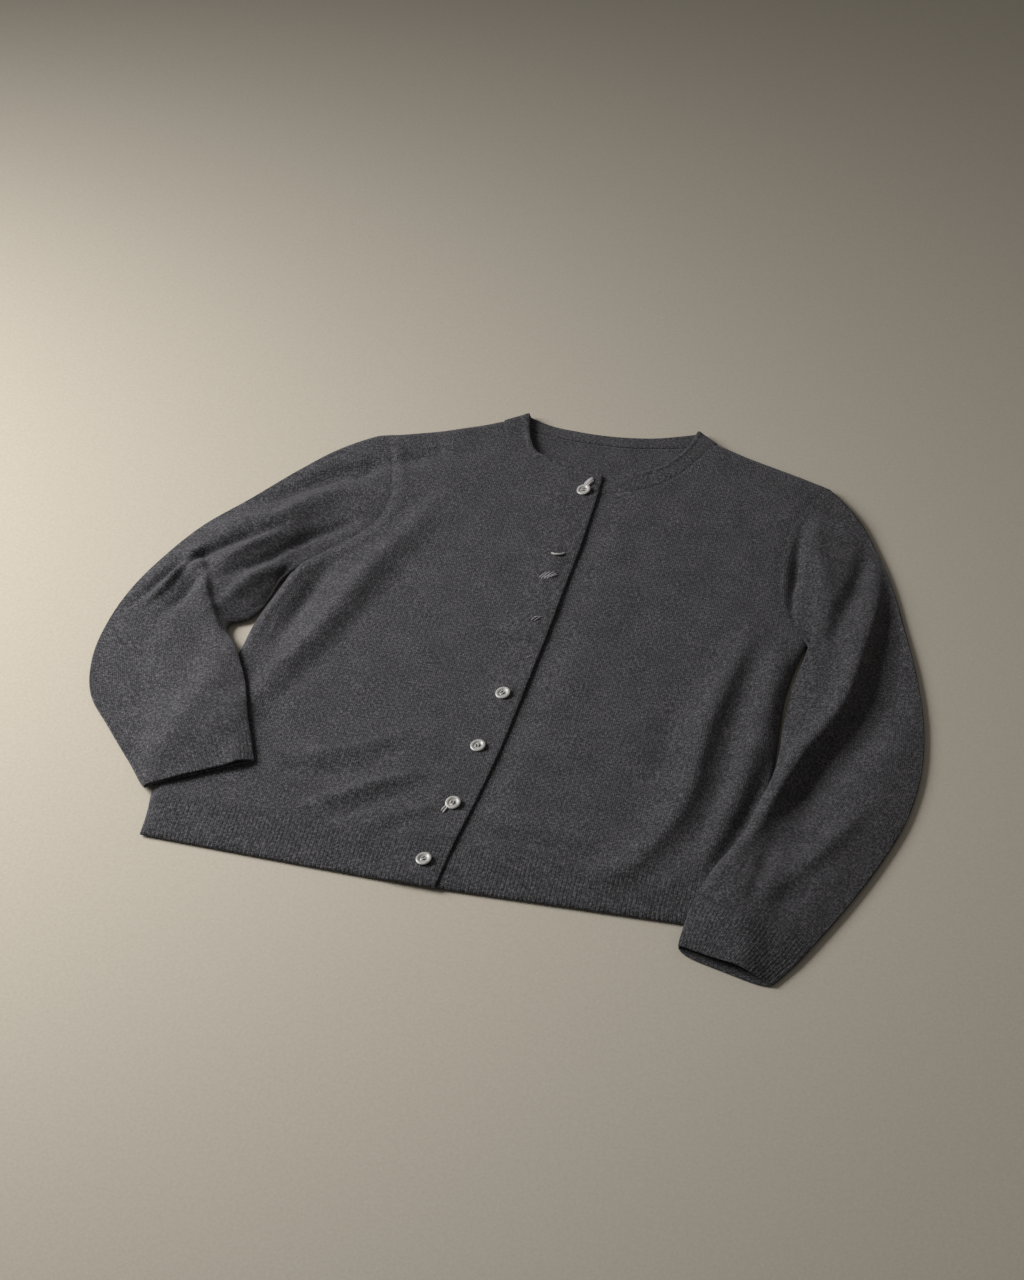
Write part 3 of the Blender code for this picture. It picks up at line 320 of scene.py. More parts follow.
def pick(line, far):
    """The points that lie this far along a line."""
    along = lengths(line)
    return np.stack([np.interp(far, along, line[:, k]) for k in range(line.shape[1])], axis=1)


def beside(line, distance):
    """The line moved sideways, to its left where the distance is positive."""
    way = np.gradient(line, axis=0)
    way /= np.linalg.norm(way, axis=1, keepdims=True)
    return line + distance * np.stack([-way[:, 1], way[:, 0]], axis=1)


def nearest(line, x, y):
    """For plan points: distance to the line, fraction along it, and +1 on its left or -1."""
    best, place, side = (np.full(x.shape, start) for start in (np.inf, 0.0, 1.0))
    far = lengths(line)
    for k, ((ax, ay), (bx, by)) in enumerate(zip(line[:-1], line[1:])):
        dx, dy = bx - ax, by - ay
        t = np.clip(((x - ax) * dx + (y - ay) * dy) / (dx * dx + dy * dy), 0, 1)
        away = np.hypot(x - ax - t * dx, y - ay - t * dy)
        closer = away < best
        best = np.where(closer, away, best)
        place = np.where(closer, (far[k] + t * (far[k + 1] - far[k])) / far[-1], place)
        side = np.where(closer, np.sign(dx * (y - ay) - dy * (x - ax)), side)
    return best, place, side


def eased(t):
    """0 below 0, 1 above 1, and 3t² - 2t³ between."""
    t = np.clip(t, 0, 1)
    return t * t * (3 - 2 * t)


def rolled(distance, reach):
    """The height of a quarter ellipse, this far in from its edge: √(1 - (1 - d/reach)²)."""
    return np.sqrt(1 - (1 - np.clip(distance / reach, 0, 1)) ** 2)


def bell(distance, width):
    """A soft bump, 1 in its middle: e^-(distance/width)²."""
    return np.exp(-((distance / width) ** 2))


def folded(folds, x, y):
    """The height that folds add: rise · a bell across the fold · (sin π(0.05 + 0.9 t))^0.8, where
    t is the fraction along it, so that a fold fades towards both ends."""
    total = np.zeros(x.shape)
    for fold in folds:
        away, place, side = nearest(drawn(fold.line, 24), x, y)
        width = np.where(side > 0, fold.left, fold.right)
        fade = np.sin(math.pi * (0.05 + 0.9 * place)) ** 0.8
        total += fold.rise * fade * bell(away, width)
    return total


HEM_LINES = {"right": np.array([HEM_SIDE_RIGHT[0], HEM_EDGE_RIGHT[0]]),
             "left": np.array([HEM_SIDE_LEFT[0], HEM_EDGE_LEFT[0]])}
SIDES = {"right": joined(drawn(HEM_SIDE_RIGHT, 20), drawn(SIDE_RIGHT, 80)),
         "left": joined(drawn(HEM_SIDE_LEFT, 20), drawn(SIDE_LEFT, 80))}
SHOULDERS = {"right": drawn(SHOULDER_RIGHT, 40), "left": drawn(SHOULDER_LEFT, 40)}
ARMHOLES = {"right": drawn(ARMHOLE_RIGHT), "left": drawn(ARMHOLE_LEFT)}
NECKS = {"right": drawn(NECK_RIGHT), "left": drawn(NECK_LEFT), "back": drawn(NECK_BACK)}
LAP_LINE = joined(drawn(HEM_EDGE_RIGHT, 20), drawn(EDGE_RIGHT, 80))
print("armholes", *(f"{hand} {lengths(line)[-1]:.1f} cm" for hand, line in ARMHOLES.items()))

# %% [markdown]
# ## How high the cloth lies
#
# The back is flat on the table. The fronts rest on it over a little air, roll down to it at the
# sides and shoulders, and rise where one laps over the other. Over all that lie the folds and a
# faint unevenness that no laid cloth is without.

# %% Levels
WAVES = [(0.3, 1.0), (1.4, 0.82), (2.2, 1.27), (2.9, 0.67), (0.9, 0.55), (1.9, 1.5)]
HEM_SHARE = 0.35  # the share of the folds' height that is left at the hem


def uneven(x, y, amount, wave):
    """A faint unevenness: six plane waves of different directions and lengths, added up."""
    total = np.zeros(x.shape)
    for k, (turn, stretch) in enumerate(WAVES):
        reach = 2 * math.pi / (wave * stretch)
        total += np.sin(reach * (x * math.cos(turn) + y * math.sin(turn)) + 1.7 * k * k)
    return amount * total / 3


def risen(x, y, hand):
    """How far a front has risen: 0 at its hem, 1 from HEM_RISE in."""
    away, _, side = nearest(HEM_LINES[hand], x, y)
    return eased(away * side * (1 if hand == "right" else -1) / HEM_RISE)


def body_folds(x, y, up):
    """The body's folds, about a third as high at the hem, with its faint unevenness."""
    folds = folded(BODY_FOLDS, x, y) + uneven(x, y, 0.035, 5.5)
    return folds * (HEM_SHARE + (1 - HEM_SHARE) * up)


def flat_level(x, y, hand):
    """How high a front's middle surface lies away from its rolled edges."""
    up = risen(x, y, hand)
    level = HEM_LEVEL + (FRONT_LEVEL - HEM_LEVEL) * up + body_folds(x, y, up)
    lap = HEM_LEVEL + (LAP_LEVEL - HEM_LEVEL) * up
    beyond = x - np.interp(y, LAP_LINE[:, 1], LAP_LINE[:, 0])
    if hand == "left":
        return lap + (level - lap) * eased((beyond - CREASE) / STEP)
    over = np.maximum(level, lap + OVER_LAP) + folded(LAP_FOLDS, x, y)
    return level + (over - level) * eased(1 + (beyond + OVERLAP) / LAP_EASE)


def front_level(x, y, hand):
    """The same, rolled down to the table along the side, the shoulder and the hem."""
    edge = np.minimum(nearest(SIDES[hand], x, y)[0], nearest(SHOULDERS[hand], x, y)[0])
    edge = np.minimum(edge, nearest(HEM_LINES[hand], x, y)[0] * ROLL / HEM_ROLL)
    under_arm = ARMHOLES[hand][0]
    from_it = np.hypot(x - under_arm[0], y - under_arm[1])
    lowest = EDGE_LEVEL + UNDER_ARM_RISE * bell(from_it, UNDER_ARM)
    if hand == "right":
        beyond = x - np.interp(y, LAP_LINE[:, 1], LAP_LINE[:, 0])
        lowest = lowest + OVER_LAP * eased(1 + (beyond + OVERLAP) / LAP_EASE)
    return lowest + (flat_level(x, y, hand) - lowest) * rolled(edge, ROLL)


def body_top(x, y, reach, hand):
    """What a sleeve lies on: its front's upper face, and beside it a ramp down to the table."""
    up = risen(x, y, hand)
    height = HEM_LEVEL + (FRONT_LEVEL - HEM_LEVEL) * up + np.maximum(body_folds(x, y, up), 0)
    inward = 1 if hand == "right" else -1
    inside = inward * (x - np.interp(y, SIDES[hand][:, 1], SIDES[hand][:, 0]))
    inside = np.minimum(inside, y + PAST_HEM)
    return (height + KNIT / 2 + RIB_RISE + CLEAR) * eased(1 + inside / reach)


# %% [markdown]
# ## A wall of cloth
#
# Every piece is the same kind of thing: a grid of middle points, an outer and an inner face half
# the thickness away on either side, and a rim that closes them. Where the thickness tapers in the
# last millimetre, the free edge comes out round, as a knitted edge is.

# %% A closed wall
START, END, FIRST = np.s_[0], np.s_[-1], np.s_[:, 0]  # the rows and the column that seams need


def upright(line, normal, ring):
    """An edge's normals without what points across the edge's line in plan. Those of a ring are
    turned into the upright sheet that stands on its two ends."""
    if not ring:
        way = np.gradient(line, axis=0)
        across = np.stack([-way[:, 1], way[:, 0], 0 * way[:, 0]], axis=1)
        across /= np.linalg.norm(way, axis=1, keepdims=True)
        kept = normal - (normal * across).sum(1, keepdims=True) * across
        return kept / np.linalg.norm(kept, axis=1, keepdims=True)
    after, before = np.roll(line, -1, axis=0) - line, np.roll(line, 1, axis=0) - line
    folded_back = (after * before * (1, 1, 0)).sum(1, keepdims=True) > 0
    along = np.where(folded_back, after + before, after - before) * (1, 1, 0)
    ends = line[np.argmax(np.linalg.norm((line - line[0])[:, :2], axis=1))] - line[0]
    along *= np.sign((along * ends).sum(1, keepdims=True))
    across = np.stack([-along[:, 1], along[:, 0], 0 * along[:, 0]], axis=1)
    turned = np.cross(after - before, across)
    turned *= np.sign((turned * normal).sum())
    return turned / np.linalg.norm(turned, axis=1, keepdims=True)


def wall(middle, thickness, stitches, square=(), raised=0.0, ring=False, turned=False):
    """Points, faces and stitch places of a closed wall of cloth about a grid of middle points.

    outer = middle + normal · (thickness/2 + raised), inner = middle - normal · thickness/2, where
    normal is across × along. stitches gives each point's place in the knit, in centimetres; in a
    ring it has a column more, for the second time round. Rows or columns named in square have
    normals that stand upright over their seam.
    """
    rows, columns, _ = middle.shape
    around = np.concatenate([middle[:, -1:], middle, middle[:, :1]], axis=1) if ring else middle
    across = around[:, 2:] - around[:, :-2] if ring else np.gradient(middle, axis=1)
    normal = np.cross(across, np.gradient(middle, axis=0)) * (-1 if turned else 1)
    normal /= np.linalg.norm(normal, axis=2, keepdims=True)
    for edge in square:
        normal[edge] = upright(middle[edge], normal[edge], ring)
    half = np.broadcast_to(thickness, (rows, columns))[..., None] / 2
    outer = middle + normal * (half + np.broadcast_to(raised, (rows, columns))[..., None])
    inner = middle - normal * half
    at = np.arange(rows * columns).reshape(rows, columns)
    if ring:
        at = np.concatenate([at, at[:, :1]], axis=1)
    knit_at = np.arange(at.size).reshape(at.shape)

    def sheets(ids, behind):
        """The outer face, the inner face and the rims, as quads of ids."""
        quads = np.stack([ids[:-1, :-1], ids[:-1, 1:], ids[1:, 1:], ids[1:, :-1]], axis=-1)
        quads = quads.reshape(-1, 4)
        rims = [ids[0, ::-1], ids[-1]] if ring else [
            np.concatenate([ids[0, ::-1], ids[1:, 0], ids[-1, 1:], ids[-2::-1, -1]])]
        sides = np.concatenate([np.stack([rim[:-1], rim[1:]], axis=1) for rim in rims])
        sides = np.concatenate([sides, sides[:, ::-1] + behind], axis=1)
        every = np.concatenate([quads, quads[:, ::-1] + behind, sides])
        return every[:, ::-1] if turned else every

    points = np.concatenate([outer.reshape(-1, 3), inner.reshape(-1, 3)])
    places = np.concatenate([stitches.reshape(-1, 2)] * 2)
    return points, sheets(at, rows * columns), places[sheets(knit_at, at.size)]


def raise_up(plan, level):
    """Plan points with their height over the table."""
    return np.concatenate([plan, np.broadcast_to(level, plan.shape[:2])[..., None]], axis=2)


# %% A wall's mesh
CLOTH_SHARP = 60  # degrees past which an edge of cloth is shaded sharp


def placed(name, data):
    """An object with this data, linked into the scene."""
    thing = bpy.data.objects.new(name, data)
    bpy.context.scene.collection.objects.link(thing)
    return thing


def mesh_object(name, points, faces, materials, kinds=None, sharp=None):
    """An object at the frame's origin, with its place in its mesh: metres from centimetres. kinds
    says which of the materials each face has, and sharp past which angle an edge is shaded so."""
    mesh = bpy.data.meshes.new(name)
    mesh.from_pydata(((points - (*MIDDLE, 0)) * CM).tolist(), [], faces)
    mesh.shade_smooth()
    if sharp:
        mesh.set_sharp_from_angle(angle=math.radians(sharp))
    for material in materials:
        mesh.materials.append(material)
    if kinds:
        mesh.polygons.foreach_set("material_index", kinds)
    piece = placed(name, mesh)
    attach(piece, "root")
    return piece


def sewn(name, body, material, node):
    """A cloth piece that stands for a CAD node, with its stitch places as its UV map."""
    points, faces, places = body
    piece = mesh_object(name, points, faces.tolist(), [material], sharp=CLOTH_SHARP)
    layer = piece.data.uv_layers.new(name="stitches")
    layer.data.foreach_set("uv", places.reshape(-1).astype(np.float32))
    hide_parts(node)
    print(f"{name}: {len(points)} points, {len(faces)} faces")


# %% [markdown]
# ## Finishes
#
# Charcoal wool yarn is spun from dark and pale fibres together, so it is heathered: a fine grain
# of greys with a trace of brown and violet. The nap softens it and gives it a faint sheen at
# grazing angles. Its colour and grain come from noise on Object coordinates at real scales, and
# the stitches from the piece's own stitch map, so that they run with the knit round a sleeve.


# %% Colour and node helpers
def linear(hex_colour):
    """Linear RGBA from an sRGB hex colour: ((c + 0.055) / 1.055)^2.4, or c / 12.92 when dark."""
    code = hex_colour.lstrip("#")
    parts = [int(code[k:k + 2], 16) / 255 for k in (0, 2, 4)]
    return (*[c / 12.92 if c <= 0.04045 else ((c + 0.055) / 1.055) ** 2.4 for c in parts], 1.0)


def add(tree, kind, settings=None, stops=(), **inputs):
    """A node with its settings, a colour ramp's stops as (position, hex), and its inputs: values,
    or a socket or a node to link. An input named _0 is the node's first one."""
    node = tree.nodes.new(kind)
    for key, value in (settings or {}).items():
        setattr(node, key, value)
    for _ in stops[2:]:
        node.color_ramp.elements.new(0.5)
    for k, (position, colour) in enumerate(stops):
        element = node.color_ramp.elements[k]
        element.position, element.color = position, linear(colour)
    for key, value in inputs.items():
        socket = node.inputs[int(key[1:]) if key[0] == "_" else key.replace("_", " ")]
        if isinstance(value, bpy.types.Node):
            value = value.outputs[0]
        if isinstance(value, bpy.types.NodeSocket):
            tree.links.new(value, socket)
        else:
            socket.default_value = value
    return node


def new_material(name, **sockets):
    """A material with these constants on its shader, its node tree and its shader."""
    material = bpy.data.materials.new(name)
    material.use_nodes = True
    tree = material.node_tree
    shader = tree.nodes["Principled BSDF"]
    for key, value in sockets.items():
        shader.inputs[key.replace("_", " ")].default_value = value
    return material, tree, shader


def weighted(tree, first, *rest):
    """The sum of some values, each times its weight."""
    total = add(tree, "ShaderNodeMath", {"operation": "MULTIPLY"}, _0=first[0], _1=first[1])
    if not rest:
        return total
    return add(tree, "ShaderNodeMath", {"operation": "ADD"}, _0=total, _1=weighted(tree, *rest))


# %% Charcoal wool
STITCH_WIDE, STITCH_HIGH = 0.16, 0.125  # one stitch of the knit
SHADES = (0.36, 0.47, 0.53, 0.64)  # where the grain goes from one fibre's tone to the next


def charcoal_wool(name, tones):
    """Heathered charcoal wool knit: matt, soft, and grainy at the scale of its stitches. Grains of
    1.9 mm and 0.9 mm and clouds of 18 mm mix its tones. Its relief adds a triangle wave across the
    stitches, one along them that the first slants, so that they meet in loops, and the fibres."""
    material, tree, shader = new_material(
        name, Roughness=0.92, Sheen_Weight=0.25, Sheen_Roughness=0.55, Specular_IOR_Level=0.25,
        Sheen_Tint=linear("#9a98a0"))
    where = add(tree, "ShaderNodeTexCoord").outputs["Object"]
    fibres = add(tree, "ShaderNodeTexNoise", Vector=where, Scale=520.0, Detail=3.0, Roughness=0.62)
    specks = add(tree, "ShaderNodeTexNoise", Vector=where, Scale=1150.0, Detail=1.0, Roughness=0.5)
    cloud = add(tree, "ShaderNodeTexNoise", Vector=where, Scale=55.0, Detail=3.0, Roughness=0.5)
    heather = add(tree, "ShaderNodeValToRGB", stops=list(zip(SHADES, tones)),
                  Fac=weighted(tree, (fibres, 0.62), (specks, 0.28), (cloud, 0.10)))
    tint = add(tree, "ShaderNodeMix", {"data_type": "RGBA", "blend_type": "OVERLAY"}, _0=0.10,
               _6=heather, _7=specks.outputs["Color"])
    tree.links.new(tint.outputs[2], shader.inputs["Base Color"])
    stitch = add(tree, "ShaderNodeSeparateXYZ",
                 Vector=add(tree, "ShaderNodeUVMap", {"uv_map": "stitches"})).outputs
    x = add(tree, "ShaderNodeMath", {"operation": "DIVIDE"}, _0=stitch[0], _1=STITCH_WIDE)
    y = add(tree, "ShaderNodeMath", {"operation": "DIVIDE"}, _0=stitch[1], _1=STITCH_HIGH)
    across = add(tree, "ShaderNodeMath", {"operation": "PINGPONG"}, _0=x, _1=0.5)
    slanted = add(tree, "ShaderNodeMath", {"operation": "ADD"}, _0=y, _1=across)
    loop = add(tree, "ShaderNodeMath", {"operation": "PINGPONG"}, _0=slanted, _1=0.5)
    relief = weighted(tree, (loop, 0.9), (across, 0.7), (fibres, 1.6))
    bump = add(tree, "ShaderNodeBump", Strength=0.75, Distance=0.0007, Height=relief)
    tree.links.new(bump.outputs["Normal"], shader.inputs["Normal"])
    return material


WOOL = charcoal_wool("heathered_charcoal_stockinette", ("#18181a", "#323235", "#47474b", "#67666b"))
RIBBING = charcoal_wool("heathered_charcoal_rib", ("#17171a", "#303033", "#444448", "#646368"))
print("wool:", WOOL.name, "and", RIBBING.name)

# %% [markdown]
# ## The fronts
#
# A front is knitted from the ribbing up. Its rows run from the side and the armhole to the front
# edge and the neck, and the wall's thickness rounds off at the front edge. Where a sleeve or the
# neckband is linked on, the seam pulls a fine groove with a soft ridge beside it.

# %% How finely the pieces are made
FRONT_ROWS = (78, 62, 40)  # a front's rows to the underarm, to the neck's corner, to the shoulder
FRONT_COLUMNS = 110  # points in each of its rows
ROLL_STEPS, RIM_STEPS = 8, 4  # points round a folded edge and round a free one
RIB_RIM_STEPS = 5  # and round the ribbing's
NECK_FROM_TIP = 4.2  # how far before the shoulder's tip the row to the neck's corner starts
SEAM_GAP = 0.004  # hairline between two pieces at a seam
SEAM_DEEP, SEAM_WIDTH = 0.035, 0.2  # the groove that a seam pulls into the cloth
RIDGE_FROM_SEAM, RIDGE_WIDTH = 0.8, 0.4  # the soft ridge beside it
ARMHOLE_RIDGES = {"right": 0.07, "left": 0.03}


def edge_steps(reach, count):
    """Distances from an edge that step evenly round its quarter circle, from 0 to its reach."""
    return reach * (1 - np.cos(np.linspace(0, math.pi / 2, count + 1)))


def at_rim(rim, kept=EDGE_SHARE):
    """A share that falls from 1 in the cloth, where rim is 1, to what is kept at its edge."""
    return kept + (1 - kept) * rim


def stations(rungs, steps):
    """How far along two edges each row starts and ends: evenly between paired places."""
    rungs = np.array(rungs, float)
    parts = [rungs[:1]]
    for k, count in enumerate(steps):
        parts.append(rungs[k] + (rungs[k + 1] - rungs[k]) * np.arange(1, count + 1)[:, None] / count)
    return np.concatenate(parts)


def between(starts, ends, columns):
    """Rows of plan points from a rolled edge to a free one, closer together at both."""
    width = np.linalg.norm(ends - starts, axis=1, keepdims=True)
    flat = np.linspace(0, 1, columns - ROLL_STEPS - RIM_STEPS)
    rest = ROLL + (width - ROLL - SOFT_EDGE) * flat
    roll = np.repeat(edge_steps(ROLL, ROLL_STEPS)[None, :-1], len(width), axis=0)
    soft = width - edge_steps(SOFT_EDGE, RIM_STEPS)[None, -2::-1]
    far = np.concatenate([roll, rest, soft], axis=1)
    return starts[:, None] + (ends - starts)[:, None] * (far / width)[..., None]


def seam_relief(x, y, line, ridge):
    """A seam's groove and the soft ridge beside it, by distance from its line."""
    away = nearest(line, x, y)[0]
    return ridge * bell(away - RIDGE_FROM_SEAM, RIDGE_WIDTH) - SEAM_DEEP * bell(away, SEAM_WIDTH)


# %% The two fronts
def front(hand):
    """A front, from the top of its ribbing to the shoulder."""
    side, edge = {"right": (drawn(SIDE_RIGHT), drawn(EDGE_RIGHT)),
                  "left": (drawn(SIDE_LEFT), drawn(EDGE_LEFT))}[hand]
    outer, inner = joined(side, ARMHOLES[hand]), joined(edge, NECKS[hand])
    side_end, edge_end = lengths(side)[-1], lengths(edge)[-1]
    outer_end, inner_end = lengths(outer)[-1], lengths(inner)[-1]
    rungs = [(SEAM_GAP, SEAM_GAP), (side_end, side_end), (outer_end - NECK_FROM_TIP, edge_end),
             (outer_end - ROLL, inner_end - ROLL)]
    roll = (outer_end, inner_end) - edge_steps(ROLL, ROLL_STEPS - 1)[-2::-1, None]
    rows = np.concatenate([stations(rungs, FRONT_ROWS), roll])
    plan = between(pick(outer, rows[:, 0]), pick(inner, rows[:, 1]), FRONT_COLUMNS)
    chord = SHOULDERS[hand][-1] - SHOULDERS[hand][0]
    share = ((plan[-1] - SHOULDERS[hand][0]) @ chord) / (chord @ chord)
    bow = pick(SHOULDERS[hand], share * lengths(SHOULDERS[hand])[-1]) - plan[-1]
    bent = eased((np.arange(len(rows)) - sum(FRONT_ROWS[:2])) / FRONT_ROWS[2])
    plan += bow * bent[:, None, None]
    x, y = plan[..., 0], plan[..., 1]
    level = front_level(x, y, hand)
    settled = rolled(nearest(SHOULDERS[hand], x, y)[0], 2)
    level = level + seam_relief(x, y, ARMHOLES[hand], ARMHOLE_RIDGES[hand]) * settled
    level = level + seam_relief(x, y, NECKS[hand], 0.0)
    free = nearest(edge, x, y)[0]
    level = level + 0.03 * bell(free - 0.35, 0.25)  # a faint ridge along the front edge
    armhole = np.s_[FRONT_ROWS[0] + 1:-1, 0]
    body = wall(raise_up(plan, level), KNIT * at_rim(rolled(free, SOFT_EDGE)), plan,
                square=(START, armhole), turned=hand == "left")
    sewn("front_panel_" + hand, body, WOOL, "front_" + hand)


for hand in HANDS:
    front(hand)

# %% [markdown]
# ## Ribbing
#
# The hem and cuffs are one-by-one rib: a knit column that stands up beside a purl column that
# sinks back. Ribs are real relief here, a third of a millimetre high and 3.2 mm apart, and they
# wander a little, as hand-smoothed ribbing does.

# %% Ribs
RIB_FADE = 0.9  # how far from its seam the ribbing reaches its full relief
RIB_EDGE_SHARE = 0.3  # the share of their height that the ribs keep at the free edge
BACK_SHARE = 0.3  # and that the back's ribs have, pressed flat under the fronts
FRONT_POINTS, BACK_POINTS = 8, 5  # points across a rib


def rib_height(across, along):
    """A rib's rounded height: rise · √(½ + ½ cos), where the ribs sway by up to three quarters of
    a millimetre on their way and are worn down by up to two fifths here and there."""
    sway = 0.045 * np.sin(1.3 * along + 0.35 * across) + 0.03 * np.sin(3.1 * along - 0.8 * across)
    wave = 0.5 + 0.5 * np.cos(2 * math.pi * (across + sway) / RIB_PITCH)
    worn = 0.8 + 0.2 * np.sin(2.3 * across + 1.9 * along) * np.sin(0.9 * across - 2.6 * along)
    return RIB_RISE * np.sqrt(wave) * worn


def ribbed(across, along, from_seam, rim):
    """The relief of a ribbing and its thickness: from plain knit at its seam to grooves and ribs."""
    fade = eased(from_seam / RIB_FADE)
    relief = rib_height(across, along) * at_rim(rim, RIB_EDGE_SHARE) * fade
    return relief, (RIB + (KNIT - RIB) * (1 - fade)) * at_rim(rim)


# %% The hem of the fronts
def hem_front(hand):
    """A front's ribbing, from its round lower edge to its seam."""
    lines = {"right": (HEM_SIDE_RIGHT, HEM_EDGE_RIGHT), "left": (HEM_SIDE_LEFT, HEM_EDGE_LEFT)}
    side, edge = (drawn(line, 60) for line in lines[hand])
    deep = np.array([lengths(side)[-1], lengths(edge)[-1]])
    share = np.concatenate([edge_steps(SOFT_EDGE, RIB_RIM_STEPS)[:-1, None] / deep,
                            stations([SOFT_EDGE / deep, 1 - SEAM_GAP / deep], [26])])
    starts, ends = pick(side, share[:, 0] * deep[0]), pick(edge, share[:, 1] * deep[1])
    ribs = float(np.linalg.norm(ends[0] - starts[0])) / RIB_PITCH
    plan = between(starts, ends, round(FRONT_POINTS * ribs))
    x, y = plan[..., 0], plan[..., 1]
    from_hem = share[:, :1] * deep[0]
    rim = rolled(from_hem, SOFT_EDGE) * rolled(nearest(edge, x, y)[0], SOFT_EDGE)
    relief, thickness = ribbed(x, y, deep[0] - from_hem, rim)
    body = wall(raise_up(plan, front_level(x, y, hand)), thickness, plan, square=(END,),
                raised=relief, turned=hand == "left")
    sewn("hem_ribbing_" + hand, body, RIBBING, "hem_front_" + hand)


for hand in HANDS:
    hem_front(hand)

# %% [markdown]
# ## The back
#
# The back lies flat on the table, and only its inside at the neck shows. It is the same wall with
# the outline of both sides, armholes, shoulders and the back of the neck.

# %% The back
BACK_ROWS = (40, 34, 40)  # the back's rows to the underarm, to the shoulder's tip, to the neck
BACK_COLUMNS = 110
TUCK_REACH = 1.5  # how far from the armhole the back is tucked in fully


def tucked(edge, hand):
    """A side of the back, moved in behind the front's rolled edge, but not at the armhole."""
    away = nearest(ARMHOLES[hand], edge[:, 0], edge[:, 1])[0]
    inward = beside(edge, 1 if hand == "left" else -1) - edge
    return edge + TUCK * eased(away / TUCK_REACH)[:, None] * inward


def back():
    """The back: rows from one side to the other, the last ones bent down to the neck seam."""
    edges, ends = [], []
    for hand, side in (("right", drawn(SIDE_RIGHT)), ("left", drawn(SIDE_LEFT))):
        parts = side, ARMHOLES[hand], SHOULDERS[hand]
        edges.append(joined(*parts))
        ends.append([lengths(joined(*parts[:k]))[-1] for k in (1, 2, 3)])
    rows = stations([(SEAM_GAP, SEAM_GAP), *zip(*ends)], BACK_ROWS)
    left, right = (tucked(pick(edge, rows[:, k]), hand)
                   for k, (edge, hand) in enumerate(zip(edges, HANDS)))
    across = np.linspace(0, 1, BACK_COLUMNS)
    plan = left[:, None] + (right - left)[:, None] * across[None, :, None]
    neck = pick(NECKS["back"], across * lengths(NECKS["back"])[-1])
    bent = np.clip((np.arange(len(rows)) - sum(BACK_ROWS[:2])) / BACK_ROWS[2], 0, 1)
    plan += (neck - plan[-1]) * bent[:, None, None]
    away = nearest(NECKS["back"], plan[..., 0], plan[..., 1])[0]
    seam = 0.05 * bell(away - 0.34, 0.16) - 0.08 * bell(away, 0.15)  # its ridge and its groove
    body = wall(raise_up(plan, BACK_LEVEL), KNIT, plan, raised=seam)
    sewn("back_panel", body, WOOL, "back")


# %% The back's hem
def hem_back():
    """The back's ribbing, flat under the fronts, with ribs on the face that shows at the rim."""
    sides = [drawn(line, 3) for line in (HEM_SIDE_RIGHT, HEM_SIDE_LEFT)]
    deep = lengths(sides[0])[-1] - HEM_TUCK
    far = np.concatenate([edge_steps(SOFT_EDGE, RIB_RIM_STEPS)[:-1],
                          np.linspace(SOFT_EDGE, deep - SEAM_GAP, 12)]) / deep
    starts, ends = (tucked(pick(side, HEM_TUCK + far * (lengths(side)[-1] - HEM_TUCK)), hand)
                    for side, hand in zip(sides, HANDS))
    columns = round(BACK_POINTS * float(np.linalg.norm(ends[0] - starts[0])) / RIB_PITCH)
    plan = starts[:, None] + (ends - starts)[:, None] * np.linspace(0, 1, columns)[None, :, None]
    rim = rolled(far[:, None] * deep, SOFT_EDGE)
    body = wall(raise_up(plan, BACK_LEVEL), KNIT * at_rim(rim), plan,
                raised=BACK_SHARE * rib_height(plan[..., 0], plan[..., 1]) * rim)
    sewn("hem_ribbing_back", body, RIBBING, "hem_back")


back()
hem_back()

# %% [markdown]
# ## Sleeves and cuffs
#
# A sleeve is a tube laid flat: the upper layer domed over some air, the lower one flat, and both
# joined at a soft fold. It starts along the armhole's own curve, takes over its own shape lower
# down, and climbs onto the body where it crosses it.

# %% Sections and mouths
TABLES = {"right": (SLEEVE_RIGHT, CUFF_RIGHT, SLEEVE_RIGHT_FOLDS),
          "left": (SLEEVE_LEFT, CUFF_LEFT, SLEEVE_LEFT_FOLDS)}
SLEEVE_RINGS, SLEEVE_TOP = 240, 130  # sections of a sleeve, and points over each one's upper layer
CUFF_RINGS = 24
LOWER = np.sin(np.linspace(-1, 1, 36) * math.pi / 2 * 0.93)  # places across the lower layer
SEAM_EASE = 1.2  # how far down from the armhole its folds reach their full height


def ring_shape(top):
    """A section's points round from its outer edge: place across, from 1 to -1 and back, height
    from 0 to 1, and 1 on the upper layer. Upper: e + (1 - e) (1 - |p|^2.2)^s, from the edge's
    height e, where s is 0.7 beside the body and 1.1 at the outer edge, so that the outer edge
    lies flatter. Lower: flat, with its edges turned up to e on a quarter circle."""
    steep = 0.7 + 0.4 * eased(top)
    high = TUBE_EDGE + (1 - TUBE_EDGE) * np.clip(1 - np.abs(top) ** 2.2, 0, 1) ** steep
    turned_up = np.clip((np.abs(LOWER) - FLAT_SHARE) / (1 - FLAT_SHARE), 0, 1)
    low = TUBE_EDGE * (1 - np.sqrt(1 - turned_up**2))
    upper = np.concatenate([np.ones(len(top)), np.zeros(len(LOWER))])
    return np.concatenate([top, LOWER]), np.concatenate([high, low]), upper


def armhole_bow(hand, outer, inner, share):
    """How far the armhole's curve bows out from the straight line between a section's edges, at
    each share of the way across."""
    line = beside(ARMHOLES[hand], SEAM_GAP if hand == "right" else -SEAM_GAP)
    ends = np.array([0, lengths(line)[-1]]) + KNIT / 2 * np.array([1, -1])
    from_tip = pick(line, np.linspace(ends[1], ends[0], len(line)))
    bow = np.stack([pick(from_tip, row * lengths(from_tip)[-1]) for row in share])
    return bow - (outer + (inner - outer) * share[..., None])


